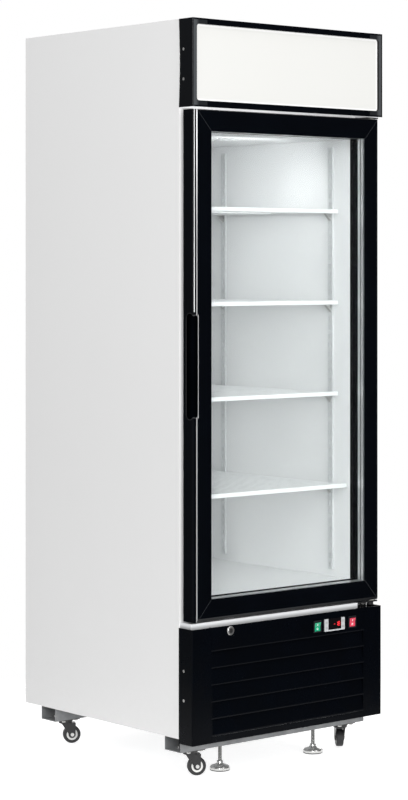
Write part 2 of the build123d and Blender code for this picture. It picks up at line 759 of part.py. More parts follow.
LAMP_X = SIGN_X - 2 * HOLDER_WIDTH
lamp_tube = along_x(-LAMP_X, LAMP_X, TRAY_FRONT - LAMP_STANDOFF, WINDOW_MID, LAMP_RADIUS)
holder = lamp_holder(LAMP_X, LAMP_X + HOLDER_WIDTH)
save("canopy_lamp", lamp_tube, holder, mirrored(holder))

# Kick panel

EDGE_BACK = KICK_FRONT + LOUVRE_LEAN + LOUVRE_WALL


def kick_pillar():
    """Right pillar: front plate that turns the corner into a wing, and a ledge behind the centre panel."""
    front = block(PANEL_X, KICK_X, KICK_FRONT, KICK_BACK, KICK_BOTTOM, KICK_TOP)
    wing = block(KICK_X - KICK_WALL, KICK_X, KICK_FRONT, FACE_Y, KICK_BOTTOM, KICK_TOP)
    ledge_top = KICK_TOP - LEDGE_DROP
    web = block(PANEL_X, PANEL_X + KICK_WALL, KICK_BACK, EDGE_BACK + KICK_WALL, KICK_BOTTOM, ledge_top)
    ledge = block(
        PANEL_X - LEDGE, PANEL_X + KICK_WALL, EDGE_BACK, EDGE_BACK + KICK_WALL, KICK_BOTTOM, ledge_top
    )
    pillar = fillet(edges_at(front + wing, Axis.Z, x=KICK_X, y=KICK_FRONT), PILLAR_EDGE_RADIUS)
    return pillar + [web, ledge] - [screw_hole(*spot) for spot in KICK_SCREWS]


right_pillar = kick_pillar()
save("kick_pillars", right_pillar, mirrored(right_pillar))

CONTROL_Z = KICK_TOP - CONTROL_DROP
SWITCH_X = BEZEL_WIDTH / 2 - BEZEL_BORDER + SWITCH_WALL
SWITCH_Z = BEZEL_HEIGHT / 2 - BEZEL_BORDER + SWITCH_WALL
BODY_X = CONTROLLER_WIDTH / 2 - CONTROLLER_FLANGE
BODY_Z = CONTROLLER_HEIGHT / 2 - CONTROLLER_FLANGE
PANEL_HALF = PANEL_X - PANEL_GAP


def louvre(top, pitch):
    """One slat that leans forward to a lip, so that air passes up behind it."""
    back = KICK_FRONT + LOUVRE_LEAN
    foot = top - pitch + LOUVRE_LIFT
    section = outline(
        (back, top),
        (KICK_FRONT, foot + LOUVRE_LIP),
        (KICK_FRONT, foot),
        (KICK_FRONT + LOUVRE_WALL, foot),
        (back + LOUVRE_WALL, top),
    )
    return solid_yz(section, -PANEL_HALF + PANEL_EDGE / 2, PANEL_HALF - PANEL_EDGE / 2)


def kick_grille():
    """Centre panel: control band, louvres between two edges, bottom band, and a stiffening rib."""
    band_bottom = KICK_TOP - CONTROL_BAND
    grille_bottom = KICK_BOTTOM + BOTTOM_BAND
    pitch = (band_bottom - grille_bottom) / LOUVRE_COUNT
    band = block(-PANEL_HALF, PANEL_HALF, KICK_FRONT, KICK_BACK, band_bottom, KICK_TOP)
    foot = block(-PANEL_HALF, PANEL_HALF, KICK_FRONT, KICK_BACK, KICK_BOTTOM, grille_bottom)
    edge = block(PANEL_HALF - PANEL_EDGE, PANEL_HALF, KICK_FRONT, EDGE_BACK, KICK_BOTTOM, KICK_TOP)
    rib = block(
        -LOUVRE_WALL / 2, LOUVRE_WALL / 2,
        KICK_FRONT + LOUVRE_LEAN, KICK_FRONT + LOUVRE_LEAN + PANEL_RIB,
        grille_bottom, band_bottom,
    )
    rib_feet = block(
        -LOUVRE_WALL / 2, LOUVRE_WALL / 2, KICK_BACK, EDGE_BACK + LOUVRE_WALL, KICK_BOTTOM, grille_bottom
    )
    slats = [louvre(band_bottom - i * pitch, pitch) for i in range(LOUVRE_COUNT)]
    panel = band + [foot, edge, mirrored(edge), rib, rib_feet] + slats
    cuts = [along_y(LOCK_X, KICK_FRONT, KICK_BACK, LOCK_Z, LOCK_BODY_RADIUS + CUTOUT_CLEARANCE)]
    sx = SWITCH_X + CUTOUT_CLEARANCE
    sz = SWITCH_Z + CUTOUT_CLEARANCE
    for x in ROCKER_XS.values():
        cuts.append(block(x - sx, x + sx, KICK_FRONT, KICK_BACK, CONTROL_Z - sz, CONTROL_Z + sz))
    bx = BODY_X + CUTOUT_CLEARANCE
    bz = BODY_Z + CUTOUT_CLEARANCE
    cuts.append(
        block(CONTROLLER_X - bx, CONTROLLER_X + bx, KICK_FRONT, KICK_BACK, CONTROL_Z - bz, CONTROL_Z + bz)
    )
    return panel - cuts


save("kick_grille", kick_grille())

# Key lock

lock_flange = along_y(LOCK_X, KICK_FRONT - LOCK_FLANGE, KICK_FRONT, LOCK_Z, LOCK_FLANGE_RADIUS)
lock_flange = chamfer(edges_at(lock_flange, GeomType.CIRCLE, y=KICK_FRONT - LOCK_FLANGE), LOCK_FLANGE / 3)
lock_body = along_y(LOCK_X, KICK_FRONT, KICK_FRONT + LOCK_BODY, LOCK_Z, LOCK_BODY_RADIUS)
lock_bore = along_y(LOCK_X, KICK_FRONT - LOCK_FLANGE, KICK_FRONT + LOCK_BODY, LOCK_Z, PLUG_RADIUS + RUNNING)
save("lock_barrel", lock_flange + lock_body - lock_bore)


def lock_plug():
    """Plug with a keyway, and at its back the cam that points sideways when the door is unlocked."""
    front = KICK_FRONT - LOCK_FLANGE - PLUG_PROUD
    back = CAM_FRONT + CAM_THICKNESS
    plug = along_y(LOCK_X, front, back, LOCK_Z, PLUG_RADIUS)
    keyway = block(
        LOCK_X - KEYWAY_WIDTH / 2, LOCK_X + KEYWAY_WIDTH / 2, front, front + KEYWAY_DEPTH,
        LOCK_Z - KEYWAY_HEIGHT / 2, LOCK_Z + KEYWAY_HEIGHT / 2,
    )
    cam = block(
        LOCK_X, LOCK_X + CAM_REACH, CAM_FRONT, back, LOCK_Z - CAM_WIDTH / 2, LOCK_Z + CAM_WIDTH / 2
    )
    return plug - keyway + cam


save("lock_plug", lock_plug())

# Rocker switches

ROCKER_X = BEZEL_WIDTH / 2 - BEZEL_BORDER - ROCKER_SIDE_GAP
ROCKER_Z = BEZEL_HEIGHT / 2 - BEZEL_BORDER - ROCKER_END_GAP
PIVOT_Y = KICK_FRONT + ROCKER_PIVOT_DEPTH


def switch_bezel(x):
    """Flange on the panel with an open box behind it, and holes for the rocker's pins."""
    open_x = BEZEL_WIDTH / 2 - BEZEL_BORDER
    open_z = BEZEL_HEIGHT / 2 - BEZEL_BORDER
    front = KICK_FRONT - BEZEL_PROUD
    back = KICK_FRONT + SWITCH_DEPTH
    flange = solid_xz(
        Pos(x, CONTROL_Z) * RectangleRounded(BEZEL_WIDTH, BEZEL_HEIGHT, BEZEL_BORDER / 2), front, KICK_FRONT
    )
    box = block(x - SWITCH_X, x + SWITCH_X, KICK_FRONT, back, CONTROL_Z - SWITCH_Z, CONTROL_Z + SWITCH_Z)
    hollow = block(
        x - open_x, x + open_x, front, back - SWITCH_WALL, CONTROL_Z - open_z, CONTROL_Z + open_z
    )
    pins = along_x(x - SWITCH_X, x + SWITCH_X, PIVOT_Y, CONTROL_Z, ROCKER_PIN_RADIUS + RUNNING)
    return flange + box - hollow - pins


def rocker(x):
    """Dished rocker on two pins, modelled with its upper end out."""
    section = outline(
        (-ROCKER_RISE, ROCKER_Z),
        (-ROCKER_RISE + ROCKER_DIP, 0),
        (-ROCKER_RISE, -ROCKER_Z),
        (ROCKER_ROOT, -ROCKER_Z + ROCKER_ROOT_INSET),
        (ROCKER_ROOT, ROCKER_Z - ROCKER_ROOT_INSET),
    )
    cap = solid_yz(section, -ROCKER_X, ROCKER_X)
    pin_x = ROCKER_X + ROCKER_PIN_LENGTH
    pins = along_x(-pin_x, pin_x, 0, 0, ROCKER_PIN_RADIUS)
    return Pos(x, PIVOT_Y, CONTROL_Z) * Rot(ROCKER_TILT, 0, 0) * (cap + pins)


save("switch_bezels", *[switch_bezel(x) for x in ROCKER_XS.values()])
for colour, rocker_place in ROCKER_XS.items():
    save(f"{colour}_rocker", rocker(rocker_place))

# Temperature controller

CONTROLLER_FRONT = KICK_FRONT - CONTROLLER_PROUD
BUTTON_SPOTS = [
    (CONTROLLER_X + side * BUTTON_OFFSET, CONTROL_Z + rise)
    for side in (-1, 1)
    for rise in (BUTTON_RISE, -BUTTON_RISE)
]


def controller_screen_space(depth):
    """The notch for the screen, open at the top of the bezel."""
    half = SCREEN_WIDTH / 2
    bottom = CONTROL_Z - CONTROLLER_HEIGHT / 2 + SCREEN_BAR
    top = CONTROL_Z + CONTROLLER_HEIGHT / 2
    back = CONTROLLER_FRONT + SCREEN_RECESS
    return block(CONTROLLER_X - half, CONTROLLER_X + half, back - depth, back, bottom, top)


def controller_case():
    """Bezel and body, with the screen's notch and a pocket for each button."""
    face = RectangleRounded(CONTROLLER_WIDTH, CONTROLLER_HEIGHT, SCREEN_BAR / 2)
    bezel = solid_xz(Pos(CONTROLLER_X, CONTROL_Z) * face, CONTROLLER_FRONT, KICK_FRONT)
    body = block(
        CONTROLLER_X - BODY_X, CONTROLLER_X + BODY_X, KICK_FRONT, KICK_FRONT + CONTROLLER_DEPTH,
        CONTROL_Z - BODY_Z, CONTROL_Z + BODY_Z,
    )
    bx = BUTTON_WIDTH / 2 + BUTTON_GAP
    bz = BUTTON_HEIGHT / 2 + BUTTON_GAP
    pockets = [
        block(x - bx, x + bx, CONTROLLER_FRONT, CONTROLLER_FRONT + BUTTON_POCKET, z - bz, z + bz)
        for x, z in BUTTON_SPOTS
    ]
    return bezel + body - controller_screen_space(SCREEN_RECESS) - pockets


def controller_button(x, z):
    """Push button that stands a little proud of the bezel."""
    return block(
        x - BUTTON_WIDTH / 2, x + BUTTON_WIDTH / 2,
        CONTROLLER_FRONT - BUTTON_PROUD, CONTROLLER_FRONT + BUTTON_POCKET - BUTTON_TRAVEL_ROOM,
        z - BUTTON_HEIGHT / 2, z + BUTTON_HEIGHT / 2,
    )


save("controller", controller_case(), controller_screen_space(SCREEN_THICKNESS))
for number, spot in enumerate(BUTTON_SPOTS, start=1):
    save(f"controller_button_{number}", controller_button(*spot))

# Hinge brackets


def hinge_pin(z0, z1):
    """Round pin on the hinge axis."""
    return along_z(HINGE_X, HINGE_Y, z0, z1, PIN_RADIUS)


def lower_bracket():
    """Plate under the door with a boss and pin, on a flange bolted to the cabinet's face."""
    plate_bottom = LOWER_PLATE_TOP - LOWER_PLATE
    plate = block(
        LOWER_X0, LOWER_X1, HINGE_Y - BRACKET_NOSE, FACE_Y, plate_bottom, LOWER_PLATE_TOP
    )
    flange = block(
        LOWER_X0, LOWER_X1, FACE_Y - BRACKET_FLANGE, FACE_Y,
        plate_bottom - LOWER_FLANGE_HEIGHT, LOWER_PLATE_TOP,
    )
    boss = along_z(HINGE_X, HINGE_Y, plate_bottom - PIN_BOSS_HEIGHT, plate_bottom, PIN_BOSS_RADIUS)
    return plate + flange + boss + hinge_pin(plate_bottom, DOOR_BOTTOM + PIN_REACH)


def upper_bracket():
    """Plate over the door with a pin, on a flange that goes up behind the canopy."""
    plate_top = UPPER_PLATE_BOTTOM + UPPER_PLATE
    plate = block(UPPER_X0, UPPER_X1, HINGE_Y - BRACKET_NOSE, FACE_Y, UPPER_PLATE_BOTTOM, plate_top)
    flange = block(
        UPPER_X0, UPPER_X1, FACE_Y - BRACKET_FLANGE, FACE_Y,
        UPPER_PLATE_BOTTOM, plate_top + UPPER_FLANGE_HEIGHT,
    )
    return plate + flange + hinge_pin(DOOR_TOP - PIN_REACH, plate_top)


save("hinge_brackets", lower_bracket(), upper_bracket())

# Door

FRAME_X0 = -DOOR_X + HANDLE_STRIP
GLASS_X0 = FRAME_X0 + STILE
GLASS_X1 = DOOR_X - STILE
GLASS_Z0 = DOOR_BOTTOM + DOOR_RAIL
GLASS_Z1 = DOOR_TOP - DOOR_RAIL
POCKET_FRONT = DOOR_FRONT + FRONT_LIP


def grip_scoop():
    """Hollow for the fingers: a round channel through the front corner, with round ends."""
    x = -DOOR_X + SCOOP_WIDTH / 2
    y = DOOR_FRONT + SCOOP_DEPTH / 2
    z = DOOR_BOTTOM + SCOOP_HEIGHT
    radius = hypot(SCOOP_WIDTH, SCOOP_DEPTH) / 2
    reach = SCOOP_LENGTH / 2 - radius
    return (
        along_z(x, y, z - reach, z + reach, radius)
        + Pos(x, y, z - reach) * Sphere(radius)
        + Pos(x, y, z + reach) * Sphere(radius)
    )


def bush_holes():
    """The holes in the door's ends that the hinge bushes sit in."""
    reach = PIN_REACH + BUSH_END_ROOM
    radius = BUSH_RADIUS + PRESS_CLEARANCE
    lower = along_z(HINGE_X, HINGE_Y, DOOR_BOTTOM, DOOR_BOTTOM + reach, radius)
    return [lower, along_z(HINGE_X, HINGE_Y, DOOR_TOP - reach, DOOR_TOP, radius)]


def door_frame():
    """The whole frame before it is cut at the mitres."""
    frame = block(FRAME_X0, DOOR_X, DOOR_FRONT, DOOR_BACK, DOOR_BOTTOM, DOOR_TOP)
    frame = chamfer(
        edges_at(frame, Axis.X, y=DOOR_FRONT, z=DOOR_BOTTOM),
        BOTTOM_CHAMFER_HEIGHT,
        BOTTOM_CHAMFER_DEPTH,
        reference=frame.faces().sort_by(Axis.Y)[0],
    )
    frame = chamfer(edges_at(frame, Axis.X, y=DOOR_FRONT, z=DOOR_TOP), TOP_CHAMFER)
    frame = fillet(edges_at(frame, Axis.Z, y=DOOR_FRONT), DOOR_EDGE_RADIUS)
    frame -= block(GLASS_X0, GLASS_X1, DOOR_FRONT, DOOR_BACK, GLASS_Z0, GLASS_Z1)
    frame -= block(
        GLASS_X0 - GLASS_BITE, GLASS_X1 + GLASS_BITE, POCKET_FRONT, POCKET_FRONT + GLASS_UNIT,
        GLASS_Z0 - GLASS_BITE, GLASS_Z1 + GLASS_BITE,
    )
    cam_slot = block(
        CAM_SLOT_X0, CAM_SLOT_X1, CAM_SLOT_Y0, CAM_SLOT_Y1, DOOR_BOTTOM, DOOR_BOTTOM + CAM_BITE + CAM_ROOM
    )
    return frame - [cam_slot, grip_scoop()] - bush_holes()


def mitre(a, b, c, d):
    """Keeps one side of the frame, between four corners in X and Z."""
    return solid_xz(outline(a, b, c, d), DOOR_FRONT, DOOR_BACK)


whole_frame = door_frame()
outer_left_low, outer_right_low = (FRAME_X0, DOOR_BOTTOM), (DOOR_X, DOOR_BOTTOM)
outer_left_high, outer_right_high = (FRAME_X0, DOOR_TOP), (DOOR_X, DOOR_TOP)
inner_left_low, inner_right_low = (GLASS_X0, GLASS_Z0), (GLASS_X1, GLASS_Z0)
inner_left_high, inner_right_high = (GLASS_X0, GLASS_Z1), (GLASS_X1, GLASS_Z1)
save(
    "door_frame_bars",
    whole_frame & mitre(outer_left_low, outer_right_low, inner_right_low, inner_left_low),
    whole_frame & mitre(outer_left_high, outer_right_high, inner_right_high, inner_left_high),
    whole_frame & mitre(outer_right_low, outer_right_high, inner_right_high, inner_right_low),
    whole_frame & mitre(outer_left_low, outer_left_high, inner_left_high, inner_left_low),
)


def door_handle():
    """Full-height strip at the door's free edge, scooped out for the fingers."""
    strip = block(-DOOR_X, FRAME_X0, DOOR_FRONT, DOOR_BACK, DOOR_BOTTOM, DOOR_TOP)
    strip = fillet(edges_at(strip, Axis.Z, x=-DOOR_X, y=DOOR_FRONT), HANDLE_EDGE_RADIUS)
    strip = fillet(edges_at(strip, Axis.Z, x=FRAME_X0, y=DOOR_FRONT), DOOR_EDGE_RADIUS)
    return strip - grip_scoop()


save("door_handle", door_handle())

PANE_X0 = GLASS_X0 - GLASS_BITE + GLASS_CLEARANCE
PANE_X1 = GLASS_X1 + GLASS_BITE - GLASS_CLEARANCE
PANE_Z0 = GLASS_Z0 - GLASS_BITE + GLASS_CLEARANCE
PANE_Z1 = GLASS_Z1 + GLASS_BITE - GLASS_CLEARANCE
PANE_STEP = PANE + PANE_GAP


def pane(index):
    """One sheet of the sealed glass unit."""
    front = POCKET_FRONT + index * PANE_STEP
    return block(PANE_X0, PANE_X1, front, front + PANE, PANE_Z0, PANE_Z1)


def spacer(index):
    """Metal ring between two panes, just inside the frame's edge."""
    front = POCKET_FRONT + PANE + index * PANE_STEP
    x0 = GLASS_X0 + SPACER_SHOW
    x1 = GLASS_X1 - SPACER_SHOW
    z0 = GLASS_Z0 + SPACER_SHOW
    z1 = GLASS_Z1 - SPACER_SHOW
    w = SPACER_WIDTH
    ring = block(x0 - w, x1 + w, front, front + PANE_GAP, z0 - w, z1 + w)
    return ring - block(x0, x1, front, front + PANE_GAP, z0, z1)


save("door_glass", *[pane(i) for i in range(PANE_COUNT)])
save("glass_spacer", *[spacer(i) for i in range(PANE_COUNT - 1)])


def gasket_strips():
    """Four mitred lengths of seal on the door's back, short of the hinge axis."""
    x1 = DOOR_X - GASKET_INSET
    z0 = DOOR_BOTTOM + GASKET_INSET
    z1 = DOOR_TOP - GASKET_INSET
    w = GASKET_WIDTH
    low, high = [(-x1, z0), (x1, z0)], [(-x1, z1), (x1, z1)]
    low_in, high_in = [(-x1 + w, z0 + w), (x1 - w, z0 + w)], [(-x1 + w, z1 - w), (x1 - w, z1 - w)]
    sides = [
        (low[0], low[1], low_in[1], low_in[0]),
        (high[0], high[1], high_in[1], high_in[0]),
        (low[0], high[0], high_in[0], low_in[0]),
        (low[1], high[1], high_in[1], low_in[1]),
    ]
    return [solid_xz(outline(*side), DOOR_BACK, DOOR_BACK + GASKET_DEPTH) for side in sides]


save("door_gasket", *gasket_strips())


def bush(door_end, inward, flange):
    """Flanged nylon bush in the door's end that turns on a hinge pin."""
    reach = PIN_REACH + BUSH_END_ROOM - PRESS_CLEARANCE
    levels = sorted((door_end, door_end + inward * reach))
    collar = sorted((door_end, door_end - inward * flange))
    body = along_z(HINGE_X, HINGE_Y, *levels, BUSH_RADIUS)
    body += along_z(HINGE_X, HINGE_Y, *collar, BUSH_FLANGE_RADIUS)
    ends = levels + collar
    return body - along_z(HINGE_X, HINGE_Y, min(ends), max(ends), PIN_RADIUS + RUNNING)


save(
    "door_bushes",
    bush(DOOR_BOTTOM, 1, LOWER_BUSH_FLANGE),
    bush(DOOR_TOP, -1, UPPER_BUSH_FLANGE),
)

# Shelves, pilasters and clips

SHELF_PITCH = (HEADER_BOTTOM - ROOM_FLOOR - TOP_SPACE - BASE_EXTRA) / SHELF_COUNT
SHELF_LEVELS = [ROOM_FLOOR + BASE_EXTRA + SHELF_PITCH * (i + 1) for i in range(SHELF_COUNT)]
PILASTER_X = ROOM_X - PILASTER_DEPTH
SHELF_X = PILASTER_X - SHELF_SIDE_GAP
SHELF_BACK = ROOM_BACK - SHELF_BACK_GAP
PILASTER_YS = (FACE_Y + PILASTER_FRONT, ROOM_BACK - PILASTER_BACK)
ROD_BELOW = 2 * WIRE_RADIUS - WELD + CROSS_ROD_RADIUS + ROD_RADIUS


def wire_shelf(top, front):
    """Welded shelf: front lip, frame rods, and wires from front to back on top of them."""
    rod_z = top - ROD_BELOW + ROD_RADIUS
    wire_front = front + LIP_THICKNESS / 2
    lip = block(-SHELF_X, SHELF_X, front, front + LIP_THICKNESS, top - LIP_DOWN, top + LIP_UP)
    lip = fillet(lip.edges().filter_by(Axis.X), LIP_RADIUS)
    middle = (front + SHELF_BACK) / 2
    edge = SHELF_X - ROD_RADIUS
    rear = SHELF_BACK - CROSS_ROD_RADIUS - CROSS_ROD_INSET
    rods = [along_x(-edge, edge, y, rod_z, CROSS_ROD_RADIUS) for y in (middle, rear)]
    rods += [along_y(side * edge, wire_front, SHELF_BACK, rod_z, ROD_RADIUS) for side in (-1, 1)]
    count = floor((SHELF_X - 2 * ROD_RADIUS - WIRE_RADIUS) / WIRE_PITCH)
    wires = [
        along_y(i * WIRE_PITCH, wire_front, SHELF_BACK, top - WIRE_RADIUS, WIRE_RADIUS)
        for i in range(-count, count + 1)
    ]
    return lip + rods + wires


for index, level in enumerate(SHELF_LEVELS):
    setback = LOWEST_SHELF_FRONT if index == 0 else SHELF_FRONT
    save(f"shelf_{index + 1}", wire_shelf(level, FACE_Y + setback))


def pilaster(y):
    """Slotted upright on the right wall that the shelf clips hook into."""
    z0 = ROOM_FLOOR + PILASTER_END
    z1 = HEADER_BOTTOM - PILASTER_END
    strip = block(PILASTER_X, ROOM_X, y - PILASTER_WIDTH / 2, y + PILASTER_WIDTH / 2, z0, z1)
    count = floor((z1 - z0) / SLOT_PITCH)
    start = (z0 + z1) / 2 - (count - 1) * SLOT_PITCH / 2
    slots = [
        block(
            PILASTER_X, PILASTER_X + SLOT_DEPTH, y - SLOT_WIDTH / 2, y + SLOT_WIDTH / 2,
            start + i * SLOT_PITCH - SLOT_HEIGHT / 2, start + i * SLOT_PITCH + SLOT_HEIGHT / 2,
        )
        for i in range(count)
    ]
    return strip - slots


right_pilasters = [pilaster(y) for y in PILASTER_YS]
save("pilasters", *right_pilasters, *[mirrored(p) for p in right_pilasters])


def shelf_clip(y, level):
    """Triangular clip on the right wall, just under a shelf's side rod."""
    top = level - ROD_BELOW - CLIP_GAP
    section = outline(
        (PILASTER_X, top),
        (PILASTER_X - CLIP_REACH, top),
        (PILASTER_X - CLIP_REACH, top - CLIP_TOE),
        (PILASTER_X, top - CLIP_HEIGHT),
    )
    return solid_xz(section, y - CLIP_WIDTH / 2, y + CLIP_WIDTH / 2)


right_clips = [shelf_clip(y, level) for y in PILASTER_YS for level in SHELF_LEVELS]
save("shelf_clips", *right_clips, *[mirrored(c) for c in right_clips])

# Fans, drawn with the axis along Z and the shaft pointing up


def fan(tip_radius):
    """Hub with pitched oval blades, and the shaft that carries it."""
    hub = along_z(0, 0, 0, FAN_HUB_HEIGHT, FAN_HUB_RADIUS)
    root = FAN_HUB_RADIUS - BLADE_ROOT
    oval = Ellipse((tip_radius - root) / 2, BLADE_CHORD / 2)
    blade = extrude(oval, amount=BLADE_THICKNESS / 2, both=True)
    blade = Pos((root + tip_radius) / 2, 0, FAN_HUB_HEIGHT / 2) * Rot(BLADE_PITCH, 0, 0) * blade
    blades = [Rot(0, 0, i * 360 / BLADE_COUNT) * blade for i in range(BLADE_COUNT)]
    return hub + blades + along_z(0, 0, FAN_HUB_HEIGHT, FAN_HUB_HEIGHT + FAN_SHAFT, FAN_SHAFT_RADIUS)


BRIDGE_LEVEL = FAN_STANDOFF + FAN_HUB_HEIGHT + FAN_BACK_ROOM


def motor_bridge(tip_radius):
    """Bracket that spans the fan, from the sheet at level 0 up to the motor's seat."""
    half = tip_radius + BRIDGE_TIP_ROOM
    wide = BRIDGE_WIDTH / 2
    top = BRIDGE_LEVEL + BRIDGE_SHEET
    bar = block(-half, half, -wide, wide, BRIDGE_LEVEL, top)
    leg = block(half - BRIDGE_SHEET, half, -wide, wide, 0, top)
    hole = along_z(0, 0, BRIDGE_LEVEL, top, FAN_SHAFT_RADIUS + BRIDGE_CLEARANCE)
    return bar + [leg, mirrored(leg)] - hole


def fan_motor():
    """Round motor on the bridge, with a bore that the fan's shaft runs in."""
    seat = BRIDGE_LEVEL + BRIDGE_SHEET
    body = along_z(0, 0, seat, seat + MOTOR_LENGTH, MOTOR_RADIUS)
    shaft_end = FAN_STANDOFF + FAN_HUB_HEIGHT + FAN_SHAFT
    return body - along_z(0, 0, seat, shaft_end + MOTOR_END_ROOM, FAN_SHAFT_RADIUS + RUNNING)


# Evaporator over the room's ceiling

COVER_TOP = HEADER_BOTTOM + COVER_SHEET
COVER_X = ROOM_X - COVER_SIDE_GAP
COVER_BACK = ROOM_BACK - COVER_BACK_GAP
EVAPORATOR_FAN_Y = FOAM_FRONT + EVAPORATOR_FAN_BACK


def guard_slots():
    """Radial slots of the fan guard, in rings."""
    slots = []
    for radius, count in GUARD_RINGS:
        slot = Pos(radius, 0) * SlotOverall(GUARD_SLOT_LENGTH, GUARD_SLOT_WIDTH)
        slots += [Pos(0, EVAPORATOR_FAN_Y) * Rot(0, 0, i * 360 / count) * slot for i in range(count)]
    return slots


def return_slots():
    """A row of slots at the ceiling's back for the returning air."""
    pitch = 2 * COVER_X / RETURN_SLOT_COUNT
    y = COVER_BACK - RETURN_SLOT_BACK
    slot = SlotOverall(RETURN_SLOT_LENGTH, RETURN_SLOT_WIDTH)
    return [Pos(-COVER_X + (i + 0.5) * pitch, y) * slot for i in range(RETURN_SLOT_COUNT)]


def evaporator_cover():
    """Ceiling panel with fan guard and return slots, folded up behind the header, with the motor bridge."""
    ceiling = block(-COVER_X, COVER_X, FOAM_FRONT, COVER_BACK, HEADER_BOTTOM, COVER_TOP)
    ceiling -= solid_xy(Sketch() + guard_slots() + return_slots(), HEADER_BOTTOM, COVER_TOP)
    upstand = block(-COVER_X, COVER_X, HEADER_BACK, HEADER_BACK + COVER_SHEET, HEADER_BOTTOM, CHAMBER_TOP)
    bridge = Pos(0, EVAPORATOR_FAN_Y, COVER_TOP) * motor_bridge(EVAPORATOR_FAN_TIP)
    return ceiling + upstand + bridge


fan_place = Pos(0, EVAPORATOR_FAN_Y, COVER_TOP)
save("evaporator_cover", evaporator_cover(), fan_place * fan_motor())
save("evaporator_fan", fan_place * Pos(0, 0, FAN_STANDOFF) * fan(EVAPORATOR_FAN_TIP))


def finned_coil(x0, x1, y0, y1, z0, z1):
    """Pack of fins between two end plates, with the ends of the tubes."""
    core = block(x0, x1, y0 + COIL_PLATE_PROUD, y1 - COIL_PLATE_PROUD, z0, z1 - COIL_PLATE_PROUD)
    plates = [block(x, x + COIL_END_PLATE, y0, y1, z0, z1) for x in (x0, x1 - COIL_END_PLATE)]
    pitch = (z1 - z0) / TUBE_ROWS
    middle = (y0 + y1) / 2
    stubs = [
        along_x(x0 - TUBE_STUB, x1 + TUBE_STUB, middle, z0 + (i + 0.5) * pitch, TUBE_RADIUS)
        for i in range(TUBE_ROWS)
    ]
    return core + plates + stubs


COIL_BACK = ROOM_BACK - COIL_BACK_GAP
save(
    "evaporator_coil",
    finned_coil(
        -COIL_X, COIL_X, COIL_BACK - COIL_DEPTH, COIL_BACK,
        COVER_TOP, CHAMBER_TOP - COIL_HEADROOM,
    ),
)

# Machine space

CONDENSER_X1 = CONDENSER_LEFT + CONDENSER_WIDTH
CONDENSER_FRONT = FACE_Y + CONDENSER_SETBACK
CONDENSER_BACK = CONDENSER_FRONT + CONDENSER_DEPTH
CONDENSER_TOP = DECK_TOP - CONDENSER_HEADROOM
FAN_X = (CONDENSER_LEFT + CONDENSER_X1) / 2
FAN_Z = (PAN_TOP + CONDENSER_TOP) / 2
SHROUD_BACK = CONDENSER_BACK + SHROUD_SHEET
BLOW_BACK = Pos(FAN_X, SHROUD_BACK, FAN_Z) * Rot(-90, 0, 0)
save(
    "condenser_coil",
    finned_coil(CONDENSER_LEFT, CONDENSER_X1, CONDENSER_FRONT, CONDENSER_BACK, PAN_TOP, CONDENSER_TOP),
)


def condenser_shroud():
    """Sheet behind the coil with a round mouth and its lip, and the bridge that holds the motor."""
    mouth = CONDENSER_FAN_TIP + SHROUD_TIP_GAP
    sheet = block(CONDENSER_LEFT, CONDENSER_X1, CONDENSER_BACK, SHROUD_BACK, PAN_TOP, CONDENSER_TOP)
    lip = along_y(FAN_X, SHROUD_BACK, SHROUD_BACK + SHROUD_LIP, FAN_Z, mouth + SHROUD_LIP_WALL)
    hole = along_y(FAN_X, CONDENSER_BACK, SHROUD_BACK + SHROUD_LIP, FAN_Z, mouth)
    bridge = BLOW_BACK * motor_bridge(mouth + SHROUD_LIP_WALL)
    return sheet + lip + bridge - hole


save("condenser_shroud", condenser_shroud(), BLOW_BACK * fan_motor())
save("condenser_fan", BLOW_BACK * Pos(0, 0, FAN_STANDOFF) * fan(CONDENSER_FAN_TIP))

COMPRESSOR_Y = BACK_Y - COMPRESSOR_BACK
COMPRESSOR_BASE = PAN_TOP + GROMMET_HEIGHT + COMPRESSOR_PLATE
DISCHARGE_Z = COMPRESSOR_BASE + DISCHARGE_RISE
SUCTION_Z = COMPRESSOR_BASE + SUCTION_RISE


